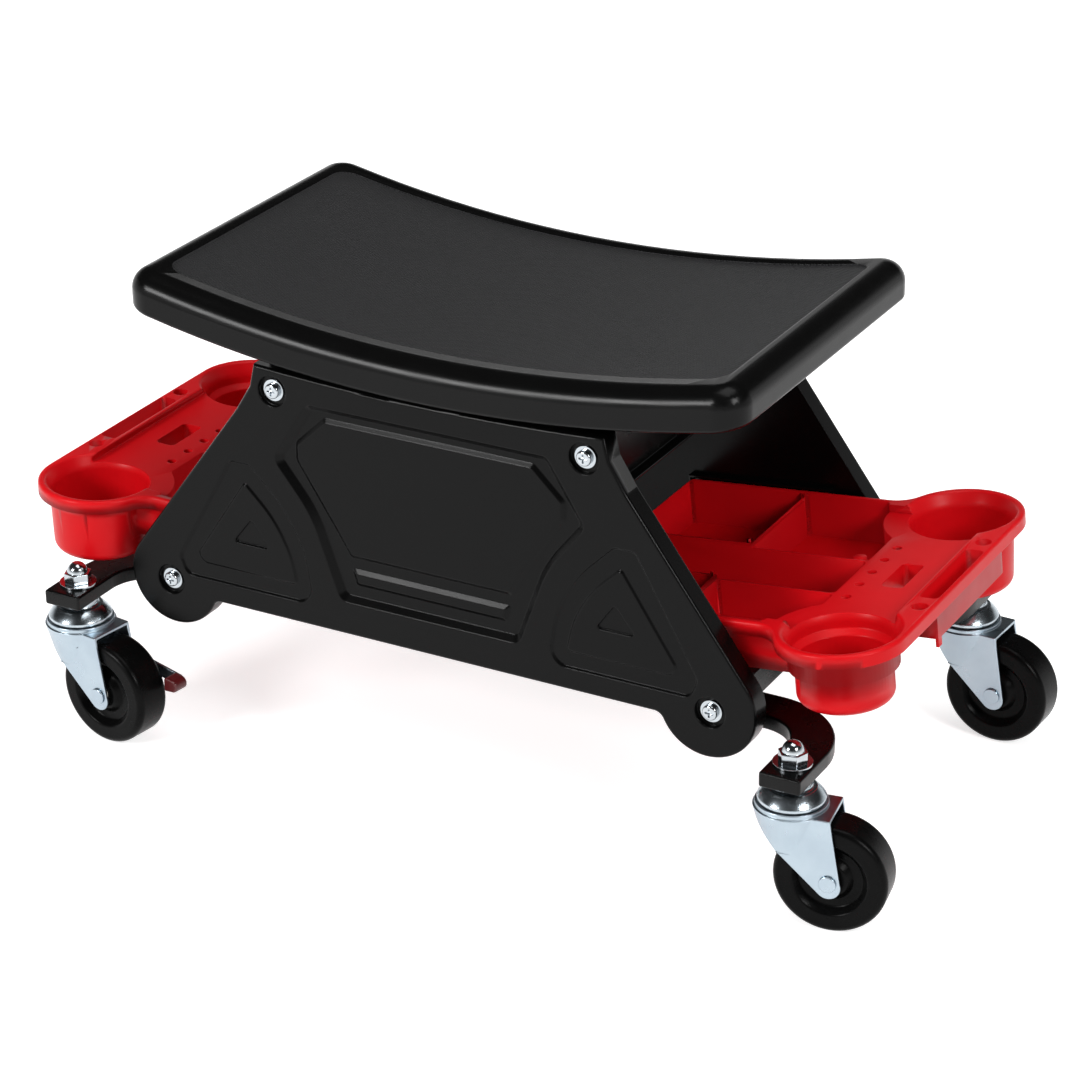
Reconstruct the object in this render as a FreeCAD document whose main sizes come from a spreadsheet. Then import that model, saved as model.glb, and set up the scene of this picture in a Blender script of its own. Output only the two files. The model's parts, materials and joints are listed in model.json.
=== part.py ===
import FreeCAD, Part
import Sketcher
import math
import os
import re
from FreeCAD import Placement, Rotation, Vector

# Creeper seat on four swivel casters, with two slide-out tool trays.
# Millimetres. X runs along the seat, -Y is the front side panel, Z is up and the floor is Z = 0.
# The origin lies on the floor, midway between the four caster studs.

DOC = FreeCAD.newDocument("CreeperSeat")
SHEET = DOC.addObject("Spreadsheet::Sheet", "Sizes")
X_AXIS = Vector(1, 0, 0)
Y_AXIS = Vector(0, 1, 0)
Z_AXIS = Vector(0, 0, 1)

# Driving dimensions, each with its alias
DIMENSIONS = {
    # overrun that every cutting tool has past the faces that it opens
    "overrun": 2.0,
    # seat
    "seat_half_length": 246.0,
    "seat_half_width": 146.0,
    "seat_top_height": 349.1,
    "seat_thickness": 30.5,
    "seat_curve_radius": 1060.0,
    "seat_corner_radius": 22.0,
    "seat_edge_radius": 15.0,
    "seat_foot_radius": 4.0,
    "seat_gap": 0.3,
    "seat_field_end_border": 22.5,
    "seat_field_side_border": 25.0,
    "seat_field_corner_radius": 14.0,
    "seat_field_depth": 1.0,
    # side panels
    "panel_outer_side": 136.7,
    "panel_thickness": 17.2,
    "panel_bottom_drop": 9.6,
    "panel_end_gap": 8.65,
    "panel_crown_gap": 4.5,
    "panel_top_half_length": 141.0,
    "panel_shoulder_half_length": 145.0,
    "panel_shoulder_rise": 0.6,
    "panel_hip_half_length": 158.0,
    "panel_hip_drop": 20.9,
    "panel_hip_radius": 30.0,
    "lobe_inset": 2.5,
    "lobe_rise": 2.1,
    "lobe_radius": 37.5,
    "lobe_blend_radius": 8.0,
    "panel_slope_angle": 36.5,
    "panel_edge_radius": 2.5,
    "recess_depth": 4.5,
    "recess_draft": 5.0,
    "pad_rise": 2.2,
    "pad_draft": 3.4,
    "corner_recess_depth": 1.8,
    "corner_recess_draft": 1.6,
    "corner_pad_rise": 1.4,
    "emboss_edge_radius": 1.0,
    "corner_mark_depth": 2.0,
    # panel screws
    "upper_screw_place": 125.8,
    "upper_screw_drop": 17.6,
    "lower_screw_place": 223.5,
    "screw_recess_radius": 11.5,
    "screw_recess_depth": 4.0,
    "screw_radius": 3.0,
    "screw_length": 27.0,
    "screw_clearance": 0.3,
    "screw_head_radius": 5.75,
    "screw_head_height": 3.6,
    "screw_drive_width": 1.3,
    "screw_drive_length": 6.4,
    "screw_drive_depth": 1.8,
    "washer_radius": 8.25,
    "washer_thickness": 1.6,
    "weld_nut_flats": 10.0,
    "weld_nut_height": 5.0,
    "thread_gap": 0.05,
    # upper cross-members
    "member_screw_inset": 9.8,
    "member_sheet": 2.0,
    "member_flange": 24.0,
    "member_drop": 49.4,
    "member_lip": 10.0,
    "seat_bolt_side": 70.0,
    "seat_bolt_radius": 3.0,
    "seat_bolt_gap": 0.3,
    "seat_bolt_bite": 16.0,
    "seat_bolt_head_radius": 6.5,
    "seat_bolt_head_height": 4.0,
    # lower crossbars
    "crossbar_size": 22.0,
    "crossbar_wall": 2.0,
    # caster arms
    "stud_place": 295.5,
    "stud_side": 155.6,
    "arm_width": 31.0,
    "arm_thickness": 11.6,
    "arm_inner_radius": 31.0,
    "arm_tip": 22.0,
    "arm_edge_radius": 2.0,
    # caster studs and their nuts
    "stud_radius": 4.0,
    "stud_collar_radius": 8.0,
    "stud_collar_height": 2.2,
    "stud_standout": 12.5,
    "stud_washer_radius": 14.0,
    "stud_washer_thickness": 1.8,
    "acorn_flats": 18.2,
    "acorn_hex_height": 7.8,
    "acorn_dome_radius": 7.8,
    # swivel
    "wheel_radius": 40.5,
    "wheel_width": 30.0,
    "caster_trail": 31.4,
    "fork_clearance": 7.6,
    "fork_sheet": 2.5,
    "fork_side_gap": 1.2,
    "fork_front": 28.0,
    "fork_nose_radius": 27.0,
    "fork_knee_swell": 0.7,
    "fork_rear": 31.5,
    "fork_shoulder": 1.5,
    "fork_toe_radius": 9.0,
    "fork_toe_drop": 2.9,
    "fork_toe_angle": 42.0,
    "race_radius": 25.5,
    "race_height": 3.2,
    "race_gap": 0.8,
    "cup_radius": 24.0,
    "cup_height": 14.8,
    "cup_dome_radius": 28.5,
    "cup_dome_drop": 13.0,
    "cup_neck_radius": 13.5,
    "cup_dish_place": 16.0,
    "cup_dish_radius": 2.6,
    "cup_dish_height": 12.2,
    "ball_radius": 2.5,
    "ball_ring_radius": 18.5,
    "ball_count": 16,
    "ball_seat_gap": 0.05,
    "ball_running_gap": 0.3,
    "front_left_turn": -8.3,
    "front_right_turn": 9.4,
    "rear_left_turn": 0.0,
    "rear_right_turn": -2.4,
    # wheels
    "axle_radius": 4.0,
    "axle_head_radius": 6.2,
    "axle_head_height": 1.8,
    "bush_wall": 1.4,
    "bush_end_gap": 0.5,
    "running_gap": 0.06,
    "press_gap": 0.05,
    "hub_radius": 12.0,
    "hub_inset": 1.5,
    "web_half_thickness": 9.0,
    "web_corner_radius": 2.5,
    "rim_inner_radius": 27.0,
    "rim_draft": 4.5,
    "tread_shoulder": 5.0,
    # foot brakes
    "brake_pivot_place": 27.0,
    "brake_pivot_rise": 18.1,
    "brake_pin_radius": 2.5,
    "brake_pin_head_radius": 4.5,
    "brake_pin_head_height": 1.4,
    "brake_gap": 0.4,
    "brake_sheet": 2.2,
    "brake_eye_radius": 6.5,
    "brake_arm_overlap": 6.6,
    "brake_arm_low_drop": 10.2,
    "brake_arm_high_drop": 1.5,
    "pedal_gap": 3.5,
    "pedal_length": 12.8,
    "pedal_drop": 11.2,
    "pedal_rise": 0.5,
    "pedal_width": 12.0,
    "pedal_tip_radius": 5.5,
    # trays, in the tray's own frame: x outwards from the inner end, z = 0 on the rim
    "tray_inner_end": 83.6,
    "tray_bar_gap": 0.45,
    "left_tray_tilt": 1.7,
    "right_tray_tilt": 6.0,
    "tray_side_gap": 3.5,
    "tray_rim_height": 10.0,
    "tray_rim_ledge": 4.0,
    "tray_depth": 36.0,
    "tray_wall": 2.2,
    "tray_corner_radius": 6.0,
    "tray_neck_radius": 20.0,
    "tray_edge_radius": 2.4,
    "cup_place": 223.5,
    "cup_side": 104.5,
    "cup_lip_radius": 46.7,
    "cup_mouth_radius": 41.5,
    "cup_mouth_edge": 3.2,
    "cup_bore_radius": 36.4,
    "cup_mouth_depth": 9.0,
    "cup_mouth_blend": 12.0,
    "plain_cup_top_radius": 38.9,
    "plain_cup_foot_radius": 36.0,
    "plain_cup_depth": 56.0,
    "stepped_cup_top_radius": 38.5,
    "stepped_cup_step": 26.0,
    "stepped_cup_ledge": 16.5,
    "stepped_cup_ledge_drop": 4.0,
    "stepped_cup_ledge_radius": 1.5,
    "stepped_cup_foot_radius": 34.0,
    "stepped_cup_depth": 52.0,
    "cup_foot_fillet": 7.0,
    "deck_edge": 189.0,
    "deck_drop": 6.0,
    "deck_ring": 19.5,
    "housing_edge": 250.0,
    "housing_front": -48.0,
    "housing_rear": 81.0,
    "housing_depth": 28.0,
    "housing_corner_radius": 14.0,
    "housing_inset": 1.5,
    "slot_place": 260.5,
    "slot_width": 14.5,
    "slot_half_length": 43.0,
    "slot_depth": 25.0,
    "round_hole_radius": 6.0,
    "round_hole_side": 57.5,
    "round_hole_depth": 20.0,
    "small_hole_place": 199.5,
    "small_hole_radius": 3.5,
    "small_hole_pitch": 22.0,
    "window_place": 223.0,
    "window_width": 16.5,
    "window_length": 41.0,
    "window_corner_radius": 4.0,
    "window_skirt": 24.0,
    "divider_rear": 16.5,
    "divider_front": -41.5,
    "divider_drop": 3.0,
    "cross_wall_place": 97.5,
    "cell_corner_radius": 3.0,
    "tray_boss_place": 176.0,
    "tray_boss_side": 31.0,
    "tray_boss_radius": 5.0,
    "tray_boss_drop": 10.0,
    "tray_tab_width": 6.0,
    "tray_tab_drop": 6.0,
    # runners
    "runner_length": 118.0,
    "runner_sheet": 1.5,
    "runner_gap": 0.4,
    "runner_ledge": 7.6,
    "runner_lip": 5.8,
    "runner_ledge_sheet": 2.6,
    "runner_lip_sheet": 1.8,
    "runner_screw_drop": 5.0,
    "runner_screw_inset": 20.0,
    "runner_screw_radius": 1.8,
    "runner_screw_head_radius": 3.6,
    "runner_screw_head_height": 1.4,
    "runner_screw_bite": 9.0,
}

# Outline points of the embossing, right half, as shares of the lobe's place and of the panel's height
RECESS_SHARES = ((0.439, 0.887), (0.577, 0.645), (0.439, 0.455), (0.335, 0.132))
PAD_SHARES = ((0.385, 0.840), (0.498, 0.721), (0.498, 0.650), (0.362, 0.419), (0.300, 0.308))
BAR_SHARES = ((0.299, 0.268), (0.281, 0.200))
CORNER_SHARES = ((0.672, 0.600), (0.545, 0.460), (0.468, 0.310), (0.437, 0.085), (0.945, 0.085), (0.972, 0.160),
                 (0.748, 0.600))
CORNER_PAD_SHARES = ((0.697, 0.525), (0.585, 0.405), (0.522, 0.270), (0.500, 0.150), (0.870, 0.150), (0.900, 0.185))
CORNER_MARK_SHARES = ((0.676, 0.374), (0.609, 0.270), (0.749, 0.270))
# Corner radii of those outlines, as shares of the lobe's radius
RECESS_ROUND_SHARES = (0.20, 0.25, 2.60, 0.25)
PAD_ROUND_SHARES = (0.15, 0.20, 0.20, 2.40, 0.10)
BAR_ROUND_SHARES = (0.06, 0.06)
CORNER_ROUND_SHARES = (0.16, 3.00, 3.00, 0.35, 0.25, 0.25, 0.16)
CORNER_PAD_ROUND_SHARES = (0.10, 3.00, 3.00, 0.12, 0.15, 0.15)
CORNER_MARK_ROUND_SHARES = (0.05, 0.05, 0.05)
# Lower front edge of the fork: where its two slopes meet, as shares of the fork's front and the axle's height
FORK_KNEE_SHARES = (0.18, 1.45)
# Most of a side that a corner's arc may take
CORNER_LIMIT_SHARE = 0.48

# Sizes and places that follow from the driving ones, in the order in which they are worked out
FOLLOWING = {
    # up from the floor: wheel, fork, swivel, arm, crossbar, tray
    "fork_top": "2 * wheel_radius + fork_clearance",
    "lower_screw_height": "fork_top + race_height + race_gap + cup_height + arm_thickness + crossbar_size / 2",
    "lobe_height": "lower_screw_height + lobe_rise",
    "panel_bottom": "lower_screw_height - panel_bottom_drop",
    "tray_inner_height": "lower_screw_height + crossbar_size / 2 + tray_depth + tray_bar_gap",
    # down from the seat
    "upper_screw_height": "seat_top_height - seat_thickness - upper_screw_drop",
    "panel_shoulder_height": "upper_screw_height + panel_shoulder_rise",
    "panel_hip_height": "upper_screw_height - panel_hip_drop",
    "member_bottom": "upper_screw_height - member_drop",
    # along and across
    "seat_field_half_length": "seat_half_length - seat_field_end_border",
    "seat_field_half_width": "seat_half_width - seat_field_side_border",
    "lobe_place": "lower_screw_place - lobe_inset",
    "member_outer_face": "upper_screw_place - member_screw_inset",
    "tray_half_width": "panel_outer_side - panel_thickness - runner_sheet - tray_side_gap",
    # foot brakes
    "brake_pivot_height": "wheel_radius + brake_pivot_rise",
    "brake_arm_low": "brake_pivot_height - brake_arm_low_drop",
    "brake_arm_high": "brake_pivot_height - brake_arm_high_drop",
    "pedal_low": "brake_pivot_height - pedal_drop",
    "pedal_high": "brake_pivot_height + pedal_rise",
    "pedal_front": "caster_trail + wheel_radius + pedal_gap",
    "pedal_reach": "pedal_front + pedal_length",
    "brake_arm_reach": "pedal_front + brake_arm_overlap",
}

for row, (alias, value) in enumerate([*DIMENSIONS.items(), *FOLLOWING.items()], start=1):
    SHEET.set("A%d" % row, alias.replace("_", " "))
    SHEET.set("B%d" % row, "=%s" % value)
    SHEET.setAlias("B%d" % row, alias)
DOC.recompute()

PIECES = {}


def size(alias):
    """Value of one cell of the sheet."""
    return float(SHEET.get(alias))


def linked(expression):
    """The same expression with each alias read from the sheet."""
    return re.sub(r"[a-z][a-z_]*[a-z]", name_in_sheet, expression)


def name_in_sheet(match):
    """An alias gets the sheet's name in front; a function's name stays."""
    word = match.group(0)
    return "Sizes." + word if word in DIMENSIONS or word in FOLLOWING else word


def bind(item, prop, expression):
    """Tie a property to the sheet."""
    item.setExpression(prop, linked(expression))


def settle(item, x="0", y="0", z="0", turn=None):
    """Place an item, with its base tied to the sheet; turn is an axis and an angle in degrees."""
    if turn is not None:
        item.Placement = Placement(Vector(), Rotation(*turn))
    for axis, expression in zip("xyz", (x, y, z)):
        bind(item, "Placement.Base." + axis, expression)
    return item


def box(name, length, width, height, **place):
    """Box with its corner at the place."""
    item = DOC.addObject("Part::Box", name)
    bind(item, "Length", length)
    bind(item, "Width", width)
    bind(item, "Height", height)
    return settle(item, **place)


def cylinder(name, radius, height, **place):
    """Cylinder that stands on the place."""
    item = DOC.addObject("Part::Cylinder", name)
    bind(item, "Radius", radius)
    bind(item, "Height", height)
    return settle(item, **place)


def cone(name, low_radius, high_radius, height, **place):
    """Frustum that stands on the place."""
    item = DOC.addObject("Part::Cone", name)
    bind(item, "Radius1", low_radius)
    bind(item, "Radius2", high_radius)
    bind(item, "Height", height)
    return settle(item, **place)


def hexagon(name, flats, height, **place):
    """Hexagonal bar of a width across flats."""
    item = DOC.addObject("Part::Prism", name)
    item.Polygon = 6
    bind(item, "Circumradius", "(%s) / 2 / cos(30)" % flats)
    bind(item, "Height", height)
    return settle(item, **place)


def ball(name, radius, **place):
    """Ball centred on the place."""
    item = DOC.addObject("Part::Sphere", name)
    bind(item, "Radius", radius)
    return settle(item, **place)


def ring(name, radius, thickness_radius, **place):
    """Torus round Z."""
    item = DOC.addObject("Part::Torus", name)
    bind(item, "Radius1", radius)
    bind(item, "Radius2", thickness_radius)
    return settle(item, **place)


def fused(name, *items):
    """Union of several items."""
    item = DOC.addObject("Part::MultiFuse", name)
    item.Shapes = list(items)
    return item


def common(name, *items):
    """What several items share."""
    item = DOC.addObject("Part::MultiCommon", name)
    item.Shapes = list(items)
    return item


def trimmed(name, base, *tools):
    """Base without its tools."""
    tool = tools[0] if len(tools) == 1 else fused(name + "Tools", *tools)
    item = DOC.addObject("Part::Cut", name)
    item.Base = base
    item.Tool = tool
    return item


def rounded(name, base, radius, keep):
    """Base with the edges that keep() picks rounded."""
    DOC.recompute()
    item = DOC.addObject("Part::Fillet", name)
    item.Base = base
    chosen = [number for number, edge in enumerate(base.Shape.Edges, start=1) if keep(edge)]
    item.Edges = [(number, radius, radius) for number in chosen]
    return item


def is_upright(edge):
    """Whether an edge starts out along Z."""
    return abs(edge.tangentAt(edge.FirstParameter).z) > 0.9


def has_radius(edge, radius):
    """Whether an edge is an arc or circle of that radius."""
    return hasattr(edge.Curve, "Radius") and abs(edge.Curve.Radius - radius) < 0.01


def gathered(name, items):
    """Several solids as one group."""
    item = DOC.addObject("Part::Compound", name)
    item.Links = list(items)
    return item


def drawn(name, shape):
    """A shape that Part's own functions made, as an object."""
    item = DOC.addObject("Part::Feature", name)
    item.Shape = shape
    return item


def profile(body, name, plane_role, corners):
    """Closed sketch on one of the body's own planes; corners are pairs of expressions."""
    sketch = body.newObject("Sketcher::SketchObject", name)
    plane = next(item for item in body.Origin.OriginFeatures if item.Role == plane_role)
    sketch.AttachmentSupport = [(plane, "")]
    sketch.MapMode = "FlatFace"
    count = len(corners)
    spots = [Vector(math.cos(math.tau * k / count), math.sin(math.tau * k / count), 0) for k in range(count)]
    for k in range(count):
        sketch.addGeometry(Part.LineSegment(spots[k], spots[(k + 1) % count]), False)
    for k in range(count):
        sketch.addConstraint(Sketcher.Constraint("Coincident", k, 2, (k + 1) % count, 1))
    for k, (across, up) in enumerate(corners):
        for kind, expression in (("DistanceX", across), ("DistanceY", up)):
            index = sketch.addConstraint(Sketcher.Constraint(kind, -1, 1, k, 1, 1.0))
            sketch.setExpression("Constraints[%d]" % index, linked(expression))
    return sketch


def plate(name, corners, width):
    """Body: an outline on the XZ plane, padded evenly to both sides of it."""
    body = DOC.addObject("PartDesign::Body", name)
    sketch = profile(body, name + "Outline", "XZ_Plane", corners)
    pad = body.newObject("PartDesign::Pad", name + "Pad")
    pad.Profile = sketch
    pad.Midplane = True
    bind(pad, "Length", width)
    sketch.Visibility = False
    return body


def turned(name, corners):
    """Body: a half section on the XZ plane, turned round Z."""
    body = DOC.addObject("PartDesign::Body", name)
    sketch = profile(body, name + "Section", "XZ_Plane", corners)
    spin = body.newObject("PartDesign::Revolution", name + "Spin")
    spin.Profile = sketch
    spin.ReferenceAxis = (sketch, ["V_Axis"])
    spin.Angle = 360
    return body


def piece(node, item, place=None):
    """Register a finished sub-part under its node's name."""
    item.Label = node
    if place is not None:
        item.Placement = place
    PIECES[node] = item
    return item


def corner_arc(before, corner, after, radius):
    """Arc that rounds the corner between two straight sides."""
    back = before - corner
    ahead = after - corner
    half = back.getAngle(ahead) / 2
    radius = min(radius, CORNER_LIMIT_SHARE * min(back.Length, ahead.Length) * math.tan(half))
    back.normalize()
    ahead.normalize()
    reach = radius / math.tan(half)
    middle = corner + (back + ahead).normalize() * (radius / math.sin(half) - radius)
    return Part.Arc(corner + back * reach, middle, corner + ahead * reach)


def chain(arcs):
    """Closed wire of arcs with straight sides between them."""
    edges = []
    for k, arc in enumerate(arcs):
        edges.append(arc.toShape())
        edges.append(Part.LineSegment(arc.EndPoint, arcs[(k + 1) % len(arcs)].StartPoint).toShape())
    return Part.Wire(edges)


def rounded_wire(corners, radii):
    """Closed wire of lines and arcs; each corner has its own radius."""
    count = len(corners)
    return chain([corner_arc(corners[k - 1], corners[k], corners[(k + 1) % count], radii[k])
                  for k in range(count)])


def softened_wire(corners, radii):
    """Closed wire whose corners have their own radii; a corner of radius zero stays sharp."""
    count = len(corners)
    ends = []
    edges = []
    for k, corner in enumerate(corners):
        if radii[k] > 0:
            arc = corner_arc(corners[k - 1], corner, corners[(k + 1) % count], radii[k])
            edges.append(arc.toShape())
            ends.append((arc.StartPoint, arc.EndPoint))
        else:
            ends.append((corner, corner))
    edges += [Part.LineSegment(ends[k][1], ends[(k + 1) % count][0]).toShape() for k in range(count)]
    return Part.Wire(Part.__sortEdges__(edges))


def inset(corners, radii, amount, normal):
    """The same outline moved inwards by an amount, with its radii kept parallel."""
    count = len(corners)
    moved = []
    new_radii = []
    for k, corner in enumerate(corners):
        before = (corner - corners[k - 1]).normalize()
        after = (corners[(k + 1) % count] - corner).normalize()
        side_before = normal.cross(before)
        side_after = normal.cross(after)
        bend = (side_before + side_after) * (amount / (1 + side_before.dot(side_after)))
        moved.append(corner + bend)
        convex = before.cross(after).dot(normal) > 0
        new_radii.append(max(radii[k] - amount, radii[k] / 2) if convex else radii[k] + amount)
    return moved, new_radii


def drafted(corners, radii, draft, rise, normal):
    """Solid between an outline and its inset one, moved by rise."""
    moved, new_radii = inset(corners, radii, draft, normal)
    lifted = [corner + rise for corner in moved]
    return Part.makeLoft([rounded_wire(corners, radii), rounded_wire(lifted, new_radii)], True, True)


def slab(corners, radii, sweep):
    """Prism over a rounded outline."""
    return Part.Face(rounded_wire(corners, radii)).extrude(sweep)


# Seat: a curved slab, cut to its plan and rounded all round, with a sunk field on top
def seat_underside_height(x):
    """Height of the seat's curved underside over a place along X."""
    radius = size("seat_curve_radius") + size("seat_thickness")
    return size("seat_top_height") + size("seat_curve_radius") - math.sqrt(radius ** 2 - x ** 2)


def edge_rise(edge):
    """Height of an edge's middle over the seat's underside."""
    middle = edge.valueAt((edge.FirstParameter + edge.LastParameter) / 2)
    return middle.z - seat_underside_height(middle.x)


seat_bottom_radius = "(seat_curve_radius + seat_thickness)"
curve_height = "seat_top_height + seat_curve_radius"
along_y = (X_AXIS, -90)
seat_width_start = "-seat_half_width - overrun"
seat_full_width = "2 * (seat_half_width + overrun)"
seat_curve = trimmed(
    "SeatCurve",
    cylinder("SeatUnderside", seat_bottom_radius, seat_full_width,
             y=seat_width_start, z=curve_height, turn=along_y),
    cylinder("SeatTop", "seat_curve_radius", "2 * (seat_half_width + 2 * overrun)",
             y="-seat_half_width - 2 * overrun", z=curve_height, turn=along_y),
)
seat_block = box(
    "SeatBlock", "2 * seat_half_length", "2 * seat_half_width", "3 * seat_thickness",
    x="-seat_half_length", y="-seat_half_width", z="seat_top_height - seat_thickness - overrun",
)
seat_plan = rounded("SeatPlan", seat_block, size("seat_corner_radius"), is_upright)
seat_slab = common("SeatSlab", seat_plan, seat_curve)
seat_soft = rounded("SeatRounded", seat_slab, size("seat_edge_radius"),
                    lambda edge: not is_upright(edge) and edge_rise(edge) > size("seat_thickness") / 2)
seat_shell = rounded("SeatFoot", seat_soft, size("seat_foot_radius"),
                     lambda edge: not is_upright(edge) and abs(edge_rise(edge)) < size("seat_gap"))
seat_field_plan = rounded(
    "SeatFieldPlan",
    box("SeatFieldBlock", "2 * seat_field_half_length", "2 * seat_field_half_width", "3 * seat_thickness",
        x="-seat_field_half_length", y="-seat_field_half_width", z="seat_top_height - 2 * seat_field_depth"),
    size("seat_field_corner_radius"), is_upright)
seat_field = common("SeatField", seat_field_plan, cylinder(
    "SeatFieldFloor", "seat_curve_radius + seat_field_depth", seat_full_width,
    y=seat_width_start, z=curve_height, turn=along_y))

# Bolt places under the seat, in the middle of each cross-member's flange
bolt_place = "(member_outer_face + member_flange / 2)"
bolt_spots = [(x_sign, y_sign) for x_sign in ("", "-") for y_sign in ("", "-")]
flange_gap = "(seat_gap + member_sheet)"
sag_at_bolt = "(%s)^2 / (2 * %s)" % (bolt_place, seat_bottom_radius)
seat_underside = "(seat_top_height - seat_thickness)"
bolt_head_top = "%s + %s - %s - seat_bolt_gap - %s * seat_bolt_head_radius / %s" % (
    seat_underside, sag_at_bolt, flange_gap, bolt_place, seat_bottom_radius)
bolt_tip = "%s + %s + seat_bolt_bite" % (seat_underside, sag_at_bolt)
seat_holes = [
    cylinder("SeatHole%d" % k, "seat_bolt_radius + seat_bolt_gap", "seat_bolt_bite + seat_thickness / 2",
             x=x_sign + bolt_place, y=y_sign + "seat_bolt_side",
             z="%s - seat_bolt_bite - seat_thickness / 2 + seat_bolt_gap" % bolt_tip)
    for k, (x_sign, y_sign) in enumerate(bolt_spots)
]
piece("seat", trimmed("Seat", seat_shell, seat_field, *seat_holes))

bolts = []
for k, (x_sign, y_sign) in enumerate(bolt_spots):
    spot = {"x": x_sign + bolt_place, "y": y_sign + "seat_bolt_side"}
    head = hexagon("SeatBoltHead%d" % k, "2 * seat_bolt_head_radius * cos(30)", "seat_bolt_head_height",
                   z="%s - seat_bolt_head_height" % bolt_head_top, **spot)
    shank = cylinder("SeatBoltShank%d" % k, "seat_bolt_radius", "%s - (%s)" % (bolt_tip, bolt_head_top),
                     z=bolt_head_top, **spot)
    bolts.append(fused("SeatBolt%d" % k, head, shank))
piece("seat_bolts", gathered("SeatBolts", bolts))


# Side panels: an embossed moulding with a lobe at each lower corner
def panel_crest_height():
    """Height of the panel's two top corners."""
    return seat_underside_height(size("panel_top_half_length")) - size("panel_end_gap")


def panel_point(across_share, up_share, depth):
    """A point on the front panel, from shares of its length and height; depth is from the outer face."""
    height = panel_crest_height() - size("panel_bottom")
    return Vector(
        across_share * size("lobe_place"),
        -size("panel_outer_side") + depth,
        size("panel_bottom") + up_share * height,
    )


def mirrored_outline(shares, rounds, depth):
    """Full outline from its right half, with the radius of each corner."""
    scale = size("lobe_radius")
    right = [panel_point(across, up, depth) for across, up in shares]
    left = [panel_point(-across, up, depth) for across, up in reversed(shares)]
    radii = [share * scale for share in rounds]
    return left + right, radii[::-1] + radii


def corner_outline(shares, rounds, depth, side):
    """Outline of a corner feature, on the right (1) or left (-1) half."""
    scale = size("lobe_radius")
    points = [panel_point(side * across, up, depth) for across, up in shares]
    radii = [share * scale for share in rounds]
    return (points, radii) if side > 0 else (points[::-1], radii[::-1])


def embossed(outline, radii, draft, depth):
    """Drafted recess cut inwards from an outline."""
    return drafted(outline, radii, draft, Vector(0, depth, 0), winding(outline))


def raised(outline, radii, draft, rise):
    """Drafted pad that rises outwards from an outline."""
    return drafted(outline, radii, draft, Vector(0, -rise, 0), winding(outline))


def winding(outline):
    """Normal about which the outline runs anticlockwise."""
    middle = sum(outline, Vector()) * (1 / len(outline))
    area = Vector()
    for k, corner in enumerate(outline):
        area += (outline[k - 1] - middle).cross(corner - middle)
    return area.normalize()


def panel_outline():
    """Closed outline of the front panel on its outer face."""
    outer = -size("panel_outer_side")
    low = size("panel_bottom")
    slope = math.radians(size("panel_slope_angle"))
    lobe = Vector(size("lobe_place"), outer, size("lobe_height"))
    radius = size("lobe_radius")
    blend = size("lobe_blend_radius")
    tangent = lobe + Vector(math.cos(slope), 0, math.sin(slope)) * radius
    hip_height = size("panel_hip_height")
    hip = Vector(tangent.x - (hip_height - tangent.z) * math.tan(slope), outer, hip_height)
    shoulder = Vector(size("panel_shoulder_half_length"), outer, size("panel_shoulder_height"))
    crest = Vector(size("panel_top_half_length"), outer, panel_crest_height())
    crown = Vector(0, outer, seat_underside_height(0) - size("panel_crown_gap"))
    drop = lobe.z - low + blend
    blend_centre = Vector(lobe.x - math.sqrt((radius + blend) ** 2 - drop ** 2), outer, low - blend)
    toward_lobe = (lobe - blend_centre).normalize()
    between = (toward_lobe + Z_AXIS).normalize()
    hip_arc = corner_arc(shoulder, hip, tangent, size("panel_hip_radius"))
    lobe_arc = Part.Arc(tangent, lobe - Z_AXIS * radius, blend_centre + toward_lobe * blend)
    blend_arc = Part.Arc(lobe_arc.EndPoint, blend_centre + between * blend, blend_centre + Z_AXIS * blend)
    sides = [
        Part.LineSegment(crest, shoulder),
        Part.LineSegment(shoulder, hip_arc.StartPoint),
        hip_arc,
        Part.LineSegment(hip_arc.EndPoint, tangent),
        lobe_arc,
        blend_arc,
    ]
    right = [side.toShape() for side in sides]
    left = [edge.mirror(Vector(), X_AXIS) for edge in right]
    top = Part.Arc(crest, crown, Vector(-crest.x, outer, crest.z)).toShape()
    bottom_start = blend_arc.EndPoint
    bottom = Part.LineSegment(bottom_start, Vector(-bottom_start.x, outer, low)).toShape()
    return Part.Wire(Part.__sortEdges__(right + left + [top, bottom]))


def panel_blank():
    """Panel without its embossing, standing at the front."""
    outer = -size("panel_outer_side")
    sweep = Vector(0, size("panel_thickness"), 0)
    blank = Part.Face(panel_outline()).extrude(sweep)
    rims = [edge for edge in blank.Edges if all(abs(v.Y - outer) < 0.001 for v in edge.Vertexes)]
    return blank.makeFillet(size("panel_edge_radius"), rims)


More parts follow.
